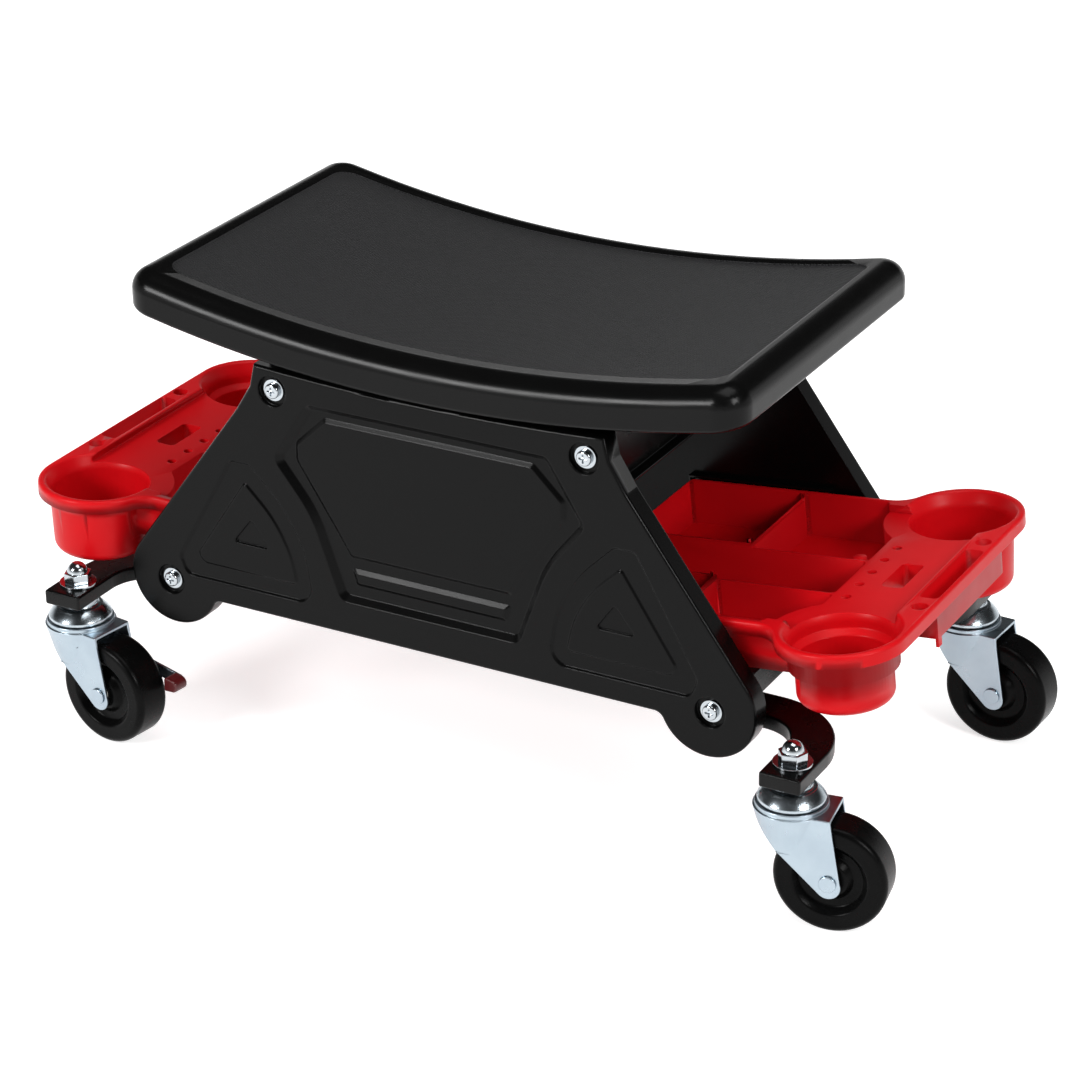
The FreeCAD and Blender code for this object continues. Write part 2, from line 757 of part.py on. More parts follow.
def panel_shape():
    """Front side panel with its embossing, screw seats and holes."""
    depth = size("recess_depth")
    recess = embossed(*mirrored_outline(RECESS_SHARES, RECESS_ROUND_SHARES, 0), size("recess_draft"), depth)
    pad = raised(*mirrored_outline(PAD_SHARES, PAD_ROUND_SHARES, depth), size("pad_draft"), size("pad_rise"))
    bar = raised(*mirrored_outline(BAR_SHARES, BAR_ROUND_SHARES, depth), size("pad_draft"), size("pad_rise"))
    tools = [recess.cut(pad).cut(bar)]
    for side in (-1, 1):
        floor = size("corner_recess_depth")
        outer = embossed(*corner_outline(CORNER_SHARES, CORNER_ROUND_SHARES, 0, side),
                         size("corner_recess_draft"), floor)
        inner = raised(*corner_outline(CORNER_PAD_SHARES, CORNER_PAD_ROUND_SHARES, floor, side),
                       size("corner_recess_draft"), size("corner_pad_rise"))
        mark_top = floor - size("corner_pad_rise")
        mark = slab(*corner_outline(CORNER_MARK_SHARES, CORNER_MARK_ROUND_SHARES, mark_top, side),
                    Vector(0, size("corner_mark_depth"), 0))
        tools += [outer.cut(inner), mark]
    shape = panel_blank()
    for tool in tools:
        shape = shape.cut(tool)
    for x, z in screw_spots():
        seat = Vector(x, -size("panel_outer_side") - size("overrun"), z)
        recess_reach = size("screw_recess_depth") + size("overrun")
        shape = shape.cut(Part.makeCylinder(size("screw_recess_radius"), recess_reach, seat, Y_AXIS))
        hole_radius = size("screw_radius") + size("screw_clearance")
        hole_reach = size("panel_thickness") + 2 * size("overrun")
        shape = shape.cut(Part.makeCylinder(hole_radius, hole_reach, seat, Y_AXIS))
    return eased_embossing(shape)


def lies_at(edge, y):
    """Whether an edge lies in the plane at a place along Y."""
    middle = edge.valueAt((edge.FirstParameter + edge.LastParameter) / 2)
    return all(abs(spot.y - y) < 0.001 for spot in [middle] + [vertex.Point for vertex in edge.Vertexes])


def eased_embossing(shape):
    """Panel with the floors, the pads and the rims of its embossing rounded, from the inside out."""
    outer = -size("panel_outer_side")
    depth = size("recess_depth")
    corner_depth = size("corner_recess_depth")
    margin = size("panel_edge_radius") + size("emboss_edge_radius") / 2
    outline = panel_outline()
    levels = (corner_depth, depth, corner_depth - size("corner_pad_rise"), depth - size("pad_rise"), 0)
    for level in levels:
        chosen = [edge for edge in shape.Edges
                  if lies_at(edge, outer + level) and edge.distToShape(outline)[0] > margin]
        shape = shape.makeFillet(size("emboss_edge_radius"), chosen)
    return shape


def screw_spots():
    """X and Z of the four screws of one panel."""
    upper = (size("upper_screw_place"), size("upper_screw_height"))
    lower = (size("lower_screw_place"), size("lower_screw_height"))
    return [(side * x, z) for x, z in (upper, lower) for side in (-1, 1)]


def runner_frame(side):
    """Placement of a tray's own frame: 1 for the right tray, -1 for the left, turned half round."""
    tilt = size("right_tray_tilt") if side > 0 else size("left_tray_tilt")
    base = Vector(side * size("tray_inner_end"), 0, size("tray_inner_height"))
    half_turn = Rotation(Z_AXIS, 0 if side > 0 else 180)
    return Placement(base, half_turn * Rotation(Y_AXIS, -tilt))


def runner_screw_places():
    """Distances from the tray's inner end to a runner's two screws."""
    inset_place = size("runner_screw_inset")
    return inset_place, size("runner_length") - 2 * inset_place


def runner_holes(panel, y_side):
    """Pilot holes for the runner screws, cut in the panel on one side."""
    inner = size("panel_outer_side") - size("panel_thickness")
    for side in (-1, 1):
        frame = runner_frame(side)
        for x in runner_screw_places():
            spot = frame.multVec(Vector(x, side * y_side * inner, -size("runner_screw_drop")))
            radius = size("runner_screw_radius") + size("thread_gap")
            start = spot - Vector(0, y_side * size("thread_gap"), 0)
            reach = size("runner_screw_bite") + 2 * size("thread_gap")
            panel = panel.cut(Part.makeCylinder(radius, reach, start, Vector(0, y_side, 0)))
    return panel


front_panel = panel_shape()
rear_panel = front_panel.copy()
rear_panel.rotate(Vector(), Z_AXIS, 180)
piece("side_panel_front", drawn("SidePanelFront", runner_holes(front_panel, -1)))
piece("side_panel_rear", drawn("SidePanelRear", runner_holes(rear_panel, 1)))

# Panel screws, washers and weld nuts: built upright at the origin, then laid along Y
SCREW_SPOTS = [(x + place, height, y_side)
               for place, height in (("upper_screw_place", "upper_screw_height"),
                                     ("lower_screw_place", "lower_screw_height"))
               for x in ("", "-") for y_side in (-1, 1)]
washer_seat = "(panel_outer_side - screw_recess_depth)"
inner_face = "(panel_outer_side - panel_thickness)"
screws = []
washers = []
weld_nuts = []
for k, (x, z, y_side) in enumerate(SCREW_SPOTS):
    outward = (X_AXIS, 90 if y_side < 0 else -90)
    sign = "-" if y_side < 0 else ""
    washer_top = "%s(%s + washer_thickness)" % (sign, washer_seat)
    disc = cylinder("WasherDisc%d" % k, "washer_radius", "washer_thickness")
    bore = cylinder("WasherBore%d" % k, "screw_radius + screw_clearance", "washer_thickness")
    washers.append(settle(trimmed("Washer%d" % k, disc, bore), x=x, y=sign + washer_seat, z=z, turn=outward))
    head = rounded("ScrewHead%d" % k, cylinder("ScrewDisc%d" % k, "screw_head_radius", "screw_head_height"),
                   size("screw_head_height") / 2,
                   lambda edge: edge.BoundBox.ZMin > size("screw_head_height") / 2 and edge.BoundBox.ZLength < 0.001)
    slots = [box("ScrewDrive%d%s" % (k, way), length, width, "screw_drive_depth + overrun",
                 x="-(%s) / 2" % length, y="-(%s) / 2" % width, z="screw_head_height - screw_drive_depth")
             for way, length, width in (("A", "screw_drive_length", "screw_drive_width"),
                                        ("B", "screw_drive_width", "screw_drive_length"))]
    shank = cylinder("ScrewShank%d" % k, "screw_radius", "screw_length", z="-screw_length")
    body = trimmed("ScrewCross%d" % k, fused("ScrewBody%d" % k, head, shank), *slots)
    screws.append(settle(body, x=x, y=washer_top, z=z, turn=outward))
    nut = trimmed(
        "WeldNut%d" % k,
        hexagon("WeldNutHex%d" % k, "weld_nut_flats", "weld_nut_height"),
        cylinder("WeldNutBore%d" % k, "screw_radius + thread_gap", "weld_nut_height"),
    )
    nut_base = "%s(%s - member_sheet - weld_nut_height)" % (sign, inner_face)
    weld_nuts.append(settle(nut, x=x, y=nut_base, z=z, turn=outward))
piece("panel_screws", gathered("PanelScrews", screws))
piece("panel_washers", gathered("PanelWashers", washers))
piece("weld_nuts", gathered("WeldNuts", weld_nuts))


# Upper cross-members: a pressed channel with two ears, hugging the curve of the seat
def upper_member(name, turn):
    """One cross-member; turn in degrees about Z."""
    web_height = "(%s - member_bottom + seat_thickness)" % seat_underside
    web = box(name + "Web", "member_sheet", "2 * %s" % inner_face, web_height,
              x="member_outer_face - member_sheet", y="-" + inner_face, z="member_bottom")
    ears = [box(name + "Ear" + tag, "member_flange + member_sheet", "member_sheet", web_height,
                x="member_outer_face - member_sheet", y=y, z="member_bottom")
            for tag, y in (("Front", "-" + inner_face), ("Rear", inner_face + " - member_sheet"))]
    lip = box(name + "Lip", "member_lip", "2 * %s" % inner_face, "member_sheet",
              x="member_outer_face - member_sheet", y="-" + inner_face, z="member_bottom")
    rest_block = box(name + "RestBlock", "member_flange + member_sheet", "2 * %s" % inner_face,
                     "2 * seat_thickness", x="member_outer_face - member_sheet", y="-" + inner_face,
                     z="%s - seat_thickness / 2" % seat_underside)
    rest_curve = cylinder(name + "RestCurve", "%s + seat_gap + member_sheet" % seat_bottom_radius,
                          seat_full_width, y=seat_width_start, z=curve_height, turn=along_y)
    under = cylinder(name + "UnderSeat", "%s + seat_gap" % seat_bottom_radius, seat_full_width,
                     y=seat_width_start, z=curve_height, turn=along_y)
    flange = common(name + "Flange", rest_block, rest_curve)
    holes = [cylinder(name + "Hole", "screw_radius + screw_clearance", "2 * panel_outer_side",
                      x="upper_screw_place", y="-panel_outer_side", z="upper_screw_height", turn=along_y)]
    holes += [cylinder(name + "BoltHole" + tag, "seat_bolt_radius + screw_clearance", "seat_thickness",
                       x=bolt_place, y=y, z="%s - seat_thickness / 2" % seat_underside)
              for tag, y in (("Front", "-seat_bolt_side"), ("Rear", "seat_bolt_side"))]
    member = trimmed(name, fused(name + "Sheet", web, *ears, lip, flange), under, *holes)
    member.Placement = Placement(Vector(), Rotation(Z_AXIS, turn))
    return member


piece("upper_cross_member_right", upper_member("UpperMemberRight", 0))
piece("upper_cross_member_left", upper_member("UpperMemberLeft", 180))


# Lower crossbars: square tube with closed ends, between the lobes of the panels
def crossbar(name, turn):
    """One lower crossbar; turn in degrees about Z."""
    start = "lower_screw_place - crossbar_size / 2"
    low = "lower_screw_height - crossbar_size / 2"
    tube = box(name + "Tube", "crossbar_size", "2 * %s" % inner_face, "crossbar_size",
               x=start, y="-" + inner_face, z=low)
    hollow = box(name + "Hollow", "crossbar_size - 2 * crossbar_wall", "2 * (%s - member_sheet)" % inner_face,
                 "crossbar_size - 2 * crossbar_wall", x=start + " + crossbar_wall",
                 y="-(%s - member_sheet)" % inner_face, z=low + " + crossbar_wall")
    hole = cylinder(name + "Hole", "screw_radius + screw_clearance", "2 * panel_outer_side",
                    x="lower_screw_place", y="-panel_outer_side", z="lower_screw_height", turn=along_y)
    bar = trimmed(name, tube, hollow, hole)
    bar.Placement = Placement(Vector(), Rotation(Z_AXIS, turn))
    return bar


piece("lower_crossbar_right", crossbar("CrossbarRight", 0))
piece("lower_crossbar_left", crossbar("CrossbarLeft", 180))

# Heights up the swivel stack, from the floor
arm_top = "(lower_screw_height - crossbar_size / 2)"
arm_bottom = "(%s - arm_thickness)" % arm_top
race_top = "(fork_top + race_height)"
cup_bottom = "(%s + race_gap)" % race_top
ball_height = "(%s + race_gap + %s) / 2" % (race_top, race_top)


# Caster arms: a flat swan neck from under the crossbar to the stud
def caster_arm(name, x_side, y_side):
    """One arm; it is drawn at the front right and turned over to its own corner."""
    arc_x = "(stud_place - arm_width / 2 - arm_inner_radius)"
    arc_y = "-(stud_side - arm_tip)"
    middle = "arm_inner_radius + arm_width"
    sector = cylinder(name + "Outer", middle, "arm_thickness", x=arc_x, y=arc_y, z=arm_bottom)
    core = cylinder(name + "Inner", "arm_inner_radius", "arm_thickness", x=arc_x, y=arc_y, z=arm_bottom)
    for item in (sector, core):
        item.Angle = 90
    root_start = "(lower_screw_place - crossbar_size / 2)"
    root = box(name + "Root", "%s - %s" % (arc_x, root_start), "arm_width", "arm_thickness",
               x=root_start, y="%s + arm_inner_radius" % arc_y, z=arm_bottom)
    toe = box(name + "Toe", "arm_width", "2 * arm_tip", "arm_thickness",
              x="stud_place - arm_width / 2", y="-(stud_side + arm_tip)", z=arm_bottom)
    bend = trimmed(name + "Bend", sector, core)
    hole = cylinder(name + "Hole", "stud_radius + thread_gap", "arm_thickness",
                    x="stud_place", y="-stud_side", z=arm_bottom)
    blank = rounded(name + "Rounded", fused(name + "Blank", root, bend, toe), size("arm_edge_radius"),
                    lambda edge: edge.BoundBox.ZLength > size("arm_thickness") / 2
                    and edge.BoundBox.YMax < -size("stud_side"))
    arm = trimmed(name, blank, hole)
    flip = 2 * (size("lower_screw_height") - size("crossbar_size") / 2) - size("arm_thickness")
    if x_side > 0 and y_side < 0:
        return arm
    if x_side < 0 and y_side > 0:
        arm.Placement = Placement(Vector(), Rotation(Z_AXIS, 180))
    else:
        arm.Placement = Placement(Vector(0, 0, flip), Rotation(X_AXIS if x_side > 0 else Y_AXIS, 180))
    return arm


CORNERS = (
    ("front_left", -1, -1, True),
    ("front_right", 1, -1, False),
    ("rear_left", -1, 1, True),
    ("rear_right", 1, 1, False),
)


def corner_frame(corner, x_side, y_side):
    """Placement of a caster's own frame: on the floor under its stud, x along its trail."""
    base = Vector(x_side * size("stud_place"), y_side * size("stud_side"), 0)
    return Placement(base, Rotation(Z_AXIS, size(corner + "_turn")))


# Swivel: fork, balls, cup and stud, drawn about the stud's axis
fork_inner = "(wheel_width / 2 + fork_side_gap)"
fork_outer = "(%s + fork_sheet)" % fork_inner
toe_height = "(wheel_radius - fork_toe_drop)"
KNEE_FRONT = "-fork_front * %s" % FORK_KNEE_SHARES[0]
KNEE_HEIGHT = "wheel_radius * %s" % FORK_KNEE_SHARES[1]
FORK_OUTLINE = (
    ("-fork_front", "fork_top"),
    ("fork_rear", "fork_top"),
    ("caster_trail + fork_toe_radius", toe_height),
    ("caster_trail - fork_toe_radius * sin(fork_toe_angle)", toe_height + " - fork_toe_radius * cos(fork_toe_angle)"),
    (KNEE_FRONT, KNEE_HEIGHT),
    ("-fork_front", "fork_top - fork_shoulder"),
)


def fork_space(name, half, nose_radius, top):
    """What the fork's outside or inside fills: flat over the wheel, swelling round the stud to the top."""
    nose = cone(name + "Nose", half + " + fork_knee_swell", nose_radius, "%s - %s" % (top, KNEE_HEIGHT),
                z=KNEE_HEIGHT)
    length = box(name + "Length", "fork_front + caster_trail + wheel_radius", "2 * " + half, top + " + overrun",
                 x=KNEE_FRONT, y="-" + half, z="-overrun")
    return fused(name, nose, length)


def fork(name, braked):
    """Pressed fork: a channel over the wheel with a round nose, and its lower ball race."""
    toe = cylinder(name + "Toe", "fork_toe_radius", "4 * fork_nose_radius", x="caster_trail",
                   y="-2 * fork_nose_radius", z=toe_height, turn=along_y)
    side = fused(name + "Side", plate(name + "Slope", FORK_OUTLINE, "4 * fork_nose_radius"), toe)
    outside = fork_space(name + "Outside", fork_outer, "fork_nose_radius", "fork_top")
    race = cylinder(name + "Race", "race_radius", "race_height + fork_sheet", z="fork_top - fork_sheet")
    gap = fork_space(name + "Gap", fork_inner, "fork_nose_radius - fork_sheet", "(fork_top - fork_sheet)")
    stud_hole = cylinder(name + "StudHole", "stud_radius + ball_running_gap", "fork_top",
                         z="fork_top / 2")
    groove = ring(name + "Groove", "ball_ring_radius", "ball_radius + ball_seat_gap", z=ball_height)
    axle_hole = cylinder(name + "AxleHole", "axle_radius + press_gap", "4 * wheel_width",
                         x="caster_trail", y="-2 * wheel_width", z="wheel_radius", turn=along_y)
    tools = [gap, stud_hole, groove, axle_hole]
    if braked:
        tools.append(cylinder(name + "PinHole", "brake_pin_radius + press_gap", "wheel_width",
                              x="brake_pivot_place", z="brake_pivot_height", turn=along_y))
    return trimmed(name, fused(name + "Blank", common(name + "Sides", side, outside), race), *tools)


def ball_ring(name):
    """Bearing balls between the fork and the cup."""
    count = round(size("ball_count"))
    step = 360 / count
    balls = [ball("%sBall%d" % (name, k), "ball_radius",
                  x="ball_ring_radius * cos(%s)" % (step * k), y="ball_ring_radius * sin(%s)" % (step * k),
                  z=ball_height)
             for k in range(count)]
    return gathered(name, balls)


def raceway_cup(name):
    """Upper race: a dome with a level top that the arm sits on."""
    rise = "%s - %s" % (arm_bottom, cup_bottom)
    dome = common(name + "Dome",
                  ball(name + "Ball", "cup_dome_radius", z=cup_bottom + " - cup_dome_drop"),
                  cylinder(name + "Rim", "cup_radius", rise, z=cup_bottom))
    neck = cylinder(name + "Neck", "cup_neck_radius", rise, z=cup_bottom)
    dish = ring(name + "Dish", "cup_dish_place", "cup_dish_radius", z=cup_bottom + " + cup_dish_height")
    bore = cylinder(name + "Bore", "stud_radius + press_gap", rise, z=cup_bottom)
    groove = ring(name + "Groove", "ball_ring_radius", "ball_radius + ball_running_gap", z=ball_height)
    return trimmed(name, fused(name + "Body", trimmed(name + "Shell", dome, dish), neck), bore, groove)


def stud(name):
    """Kingpin: a collar under the fork, and a thread through cup and arm."""
    collar_top = "fork_top - fork_sheet - ball_running_gap"
    shank_height = "%s + stud_washer_thickness + stud_standout - (%s)" % (arm_top, collar_top)
    collar = cylinder(name + "Collar", "stud_collar_radius", "stud_collar_height",
                      z=collar_top + " - stud_collar_height")
    shank = cylinder(name + "Shank", "stud_radius", shank_height, z=collar_top)
    return fused(name, collar, shank)


def stud_washer(name):
    """Large plain washer on the arm."""
    disc = cylinder(name + "Disc", "stud_washer_radius", "stud_washer_thickness", z=arm_top)
    bore = cylinder(name + "Bore", "stud_radius + screw_clearance", "stud_washer_thickness", z=arm_top)
    return trimmed(name, disc, bore)


def acorn_nut(name):
    """Domed nut, blind over the stud's end."""
    seat = arm_top + " + stud_washer_thickness"
    hexagonal = hexagon(name + "Hex", "acorn_flats", "acorn_hex_height", z=seat)
    dome = ball(name + "Dome", "acorn_dome_radius", z=seat + " + acorn_hex_height")
    cap = fused(name + "Cap", hexagonal, common(name + "Top", dome, box(
        name + "Above", "2 * acorn_flats", "2 * acorn_flats", "acorn_flats",
        x="-acorn_flats", y="-acorn_flats", z=seat + " + acorn_hex_height")))
    bore = cylinder(name + "Bore", "stud_radius + thread_gap", "stud_standout + thread_gap", z=seat)
    return trimmed(name, cap, bore)


# Wheels: section from the axle outwards, in the wheel's own frame with its axle along Z
bush_radius = "(axle_radius + running_gap + bush_wall)"
HALF_TREAD = "wheel_width / 2"
WHEEL_SIDE = (
    ("%s + press_gap" % bush_radius, "wheel_width / 2 - hub_inset"),
    ("hub_radius", "wheel_width / 2 - hub_inset"),
    ("hub_radius + rim_draft", "web_half_thickness"),
    ("rim_inner_radius - rim_draft", "web_half_thickness"),
    ("rim_inner_radius", HALF_TREAD),
    ("wheel_radius", HALF_TREAD),
)
WHEEL_SECTION = WHEEL_SIDE + tuple((across, "-(%s)" % up) for across, up in reversed(WHEEL_SIDE))


def wheel(name):
    """Wheel with a soft tread shoulder and soft corners round its web."""
    tread = rounded(name + "Tread", turned(name + "Blank", WHEEL_SECTION), size("tread_shoulder"),
                    lambda edge: has_radius(edge, size("wheel_radius")))
    web_radii = (size("hub_radius"), size("hub_radius") + size("rim_draft"),
                 size("rim_inner_radius") - size("rim_draft"), size("rim_inner_radius"))
    return rounded(name, tread, size("web_corner_radius"),
                   lambda edge: any(has_radius(edge, radius) for radius in web_radii))


def wheel_frame(corner_place):
    """Placement of a wheel on its axle."""
    hub = Vector(size("caster_trail"), 0, size("wheel_radius"))
    return corner_place * Placement(hub, Rotation(X_AXIS, -90))


def wheel_bush(name):
    """Bush pressed into the hub, running on the axle."""
    half = "(%s - bush_end_gap)" % fork_inner
    sleeve = cylinder(name + "Sleeve", bush_radius, "2 * " + half, z="-" + half)
    bore = cylinder(name + "Bore", "axle_radius + running_gap", "2 * " + half, z="-" + half)
    return trimmed(name, sleeve, bore)


def axle(name):
    """Riveted axle with a head outside each side of the fork."""
    shank = cylinder(name + "Shank", "axle_radius", "2 * " + fork_outer, z="-" + fork_outer)
    far_head = cylinder(name + "FarHead", "axle_head_radius", "axle_head_height", z=fork_outer)
    near_head = cylinder(name + "NearHead", "axle_head_radius", "axle_head_height",
                         z="-%s - axle_head_height" % fork_outer)
    return fused(name, shank, far_head, near_head)


# Foot brake: a lever on the far side of the fork, with a moulded pedal behind the tread
lever_inner = "(%s + brake_gap)" % fork_outer
lever_outer = "(%s + brake_sheet)" % lever_inner
lever_middle = "(%s + brake_sheet / 2)" % lever_inner
LEVER_OUTLINE = (
    ("brake_pivot_place", "brake_pivot_height + brake_eye_radius"),
    ("brake_pivot_place - brake_eye_radius / 2", "brake_pivot_height - brake_eye_radius * cos(30)"),
    ("brake_arm_reach", "brake_arm_low"),
    ("brake_arm_reach", "brake_arm_high"),
)


def brake_lever(name):
    """Flat lever with an eye for its pin."""
    arm = plate(name + "Arm", LEVER_OUTLINE, "brake_sheet")
    settle(arm, y=lever_middle)
    eye = cylinder(name + "Eye", "brake_eye_radius", "brake_sheet", x="brake_pivot_place",
                   y=lever_inner, z="brake_pivot_height", turn=along_y)
    hole = cylinder(name + "Hole", "brake_pin_radius + running_gap", "2 * brake_sheet",
                    x="brake_pivot_place", y=lever_inner + " - brake_sheet / 2", z="brake_pivot_height",
                    turn=along_y)
    return trimmed(name, fused(name + "Blank", arm, eye), hole)


def brake_pin(name):
    """Rivet that the lever turns on."""
    shank = cylinder(name + "Shank", "brake_pin_radius", "%s - %s + brake_gap" % (lever_outer, fork_inner),
                     x="brake_pivot_place", y=fork_inner, z="brake_pivot_height", turn=along_y)
    head = cylinder(name + "Head", "brake_pin_head_radius", "brake_pin_head_height",
                    x="brake_pivot_place", y=lever_outer + " + brake_gap", z="brake_pivot_height",
                    turn=along_y)
    return fused(name, shank, head)


def pedal_shape():
    """Moulded pedal on the inner side of the lever's end, with a rounded tip."""
    inner = size("wheel_width") / 2 + size("fork_side_gap") + size("fork_sheet") + size("brake_gap")
    start = inner - size("pedal_width")
    low, high = size("pedal_low"), size("pedal_high")
    outline = [
        Vector(size("pedal_front"), start, low),
        Vector(size("pedal_reach"), start, low + size("pedal_tip_radius") / 4),
        Vector(size("pedal_reach"), start, high - size("pedal_tip_radius") / 4),
        Vector(size("pedal_front"), start, high),
    ]
    tip = size("pedal_tip_radius")
    pad = slab(outline, [tip / 4, tip, tip, tip / 2], Vector(0, size("pedal_width"), 0))
    return pad.makeFillet(tip / 4, [edge for edge in pad.Edges if edge.BoundBox.YMax < start + tip / 4])


groups = {"caster_studs": [], "stud_washers": [], "acorn_nuts": [], "raceway_cups": []}
makers = {"caster_studs": stud, "stud_washers": stud_washer, "acorn_nuts": acorn_nut,
          "raceway_cups": raceway_cup}
for corner, x_side, y_side, braked in CORNERS:
    frame = corner_frame(corner, x_side, y_side)
    title = corner.title().replace("_", "")
    piece("caster_arm_" + corner, caster_arm("Arm" + title, x_side, y_side))
    for node, maker in makers.items():
        item = maker(title + node.title().replace("_", ""))
        item.Placement = frame
        groups[node].append(item)
    piece("fork_" + corner, fork("Fork" + title, braked), frame)
    piece("swivel_balls_" + corner, ball_ring("Balls" + title), frame)
    piece("wheel_" + corner, wheel("Wheel" + title), wheel_frame(frame))
    piece("wheel_bush_" + corner, wheel_bush("Bush" + title), wheel_frame(frame))
    piece("axle_" + corner, axle("Axle" + title), wheel_frame(frame))
    if braked:
        piece("brake_lever_" + corner, brake_lever("Lever" + title), frame)
        piece("brake_pin_" + corner, brake_pin("Pin" + title), frame)
        piece("brake_pedal_" + corner, drawn("Pedal" + title, pedal_shape()), frame)
for node, items in groups.items():
    piece(node, gathered(node.title().replace("_", ""), items))


# Trays: one moulding, drawn in its own frame with its rim on z = 0 and its inner end at x = 0
def ring_solid(radius, low, high, spot):
    """Upright cylinder from low to high."""
    return Part.makeCylinder(radius, high - low, Vector(spot.x, spot.y, low))


def tray_block(x_low, x_high, y_low, y_high, z_low, z_high):
    """Box between two corners."""
    return Part.makeBox(x_high - x_low, y_high - y_low, z_high - z_low, Vector(x_low, y_low, z_low))


def upright_edges(shape, keep):
    """Edges along Z that keep() picks by their place."""
    found = []
    for edge in shape.Edges:
        first, last = edge.Vertexes[0].Point, edge.Vertexes[-1].Point
        if math.hypot(first.x - last.x, first.y - last.y) < 0.001 and abs(first.z - last.z) > 0.001:
            if keep(first):
                found.append(edge)
    return found


def tray_rim():
    """Rim slab: the straight neck, the two cup lips and the end between them."""
    half = size("tray_half_width")
    low = -size("tray_rim_height")
    cup_x, cup_y = size("cup_place"), size("cup_side")
    lip = size("cup_lip_radius")
    rim = tray_block(0, cup_x, -half, half, low, 0)
    rim = rim.fuse(tray_block(0, cup_x + lip, -cup_y, cup_y, low, 0))
    for side in (-1, 1):
        rim = rim.fuse(ring_solid(lip, low, 0, Vector(cup_x, side * cup_y, 0)))
    rim = rim.removeSplitter()
    neck_x = cup_x - math.sqrt(lip ** 2 - (half - cup_y) ** 2)
    necks = upright_edges(rim, lambda point: abs(point.x - neck_x) < 0.01)
    rim = rim.makeFillet(size("tray_neck_radius"), necks)
    inner_corners = upright_edges(rim, lambda point: abs(point.x) < 0.01)
    rim = rim.makeFillet(size("tray_corner_radius"), inner_corners)
    top_edges = [edge for edge in rim.Edges if all(abs(v.Z) < 0.001 for v in edge.Vertexes)]
    return rim.makeFillet(size("tray_edge_radius"), top_edges)


def plain_cup():
    """Outer form of the plain cup."""
    low = -size("plain_cup_depth")
    cone = Part.makeCone(size("plain_cup_foot_radius"), size("plain_cup_top_radius"), -low,
                         Vector(size("cup_place"), size("cup_side"), low))
    foot = [edge for edge in cone.Edges if all(abs(v.Z - low) < 0.001 for v in edge.Vertexes)
            and edge.BoundBox.ZLength < 0.001]
    return cone.makeFillet(size("cup_foot_fillet"), foot)


def stepped_cup():
    """Outer form of the stepped cup."""
    spot = Vector(size("cup_place"), -size("cup_side"), 0)
    upper = ring_solid(size("stepped_cup_top_radius"), -size("stepped_cup_step"), 0, spot)
    lower = ring_solid(size("stepped_cup_foot_radius"), -size("stepped_cup_depth"), 0, spot)
    low = -size("stepped_cup_depth")
    foot = [edge for edge in lower.Edges if edge.BoundBox.ZMax < low + 0.001]
    return upper.fuse(lower.makeFillet(size("cup_foot_fillet"), foot))


def tray_cells():
    """Tools that open the five cells, each clear of the rings round the cups."""
    wall = size("tray_wall")
    well = size("tray_half_width") - size("tray_rim_ledge") - wall
    floor = -size("tray_depth") + wall
    top = size("overrun")
    rear, front = size("divider_rear"), size("divider_front")
    cross = size("cross_wall_place")
    end = size("deck_edge")
    half = wall / 2
    rows = (
        (wall, cross - half, rear + half, well),
        (cross + half, end, rear + half, well),
        (wall, end, front + half, rear - half),
        (wall, cross - half, -well, front - half),
        (cross + half, end, -well, front - half),
    )
    tools = []
    for x_low, x_high, y_low, y_high in rows:
        cell = tray_block(x_low, x_high, y_low, y_high, floor, top)
        for side in (-1, 1):
            spot = Vector(size("cup_place"), side * size("cup_side"), 0)
            cell = cell.cut(ring_solid(size("cup_bore_radius") + size("deck_ring"), floor, top, spot))
        radius = size("cell_corner_radius")
        tools.append(cell.makeFillet(radius, upright_edges(cell, lambda point: True)))
    lowered = tray_block(wall, end, front - half, front + half, -size("divider_drop"), top)
    lowered = lowered.fuse(tray_block(wall, end, rear - half, rear + half, -size("divider_drop"), top))
    lowered = lowered.fuse(tray_block(cross - half, cross + half, -well, well, -size("divider_drop"), top))
    tools.append(lowered)
    return tools


def cup_tool(side, top_bore, ledge, foot_radius, depth):
    """Tool that opens one cup; its section runs from the rounded mouth down to the floor."""
    wall = size("tray_wall")
    edge = size("cup_mouth_edge")
    mouth = size("cup_mouth_radius")
    flare = mouth + 3 * edge
    mouth_foot = -size("cup_mouth_depth")
    floor = -depth + wall
    section = [
        (0, size("overrun"), 0),
        (flare, size("overrun"), 0),
        (flare, 0, 0),
        (mouth, 0, edge),
        (top_bore, mouth_foot, size("cup_mouth_blend")),
        *ledge,
        (foot_radius - wall, floor, size("cup_foot_fillet") - wall),
        (0, floor, 0),
    ]
    spot = Vector(size("cup_place"), side * size("cup_side"), 0)
    corners = [spot + Vector(across, 0, up) for across, up, radius in section]
    face = Part.Face(softened_wire(corners, [radius for across, up, radius in section]))
    return face.revolve(spot, Z_AXIS, 360)


def cup_tools():
    """Tools that open the plain cup and the stepped cup."""
    ledge_top = -size("stepped_cup_ledge")
    ledge_radius = size("stepped_cup_ledge_radius")
    stepped_bore = size("stepped_cup_top_radius") - size("tray_wall")
    stepped_foot = size("stepped_cup_foot_radius") - size("tray_wall")
    ledge = (
        (stepped_bore, ledge_top, ledge_radius),
        (stepped_foot, ledge_top - size("stepped_cup_ledge_drop"), ledge_radius),
    )
    return [
        cup_tool(1, size("cup_bore_radius"), (), size("plain_cup_foot_radius"), size("plain_cup_depth")),
        cup_tool(-1, stepped_bore, ledge, size("stepped_cup_foot_radius"), size("stepped_cup_depth")),
    ]


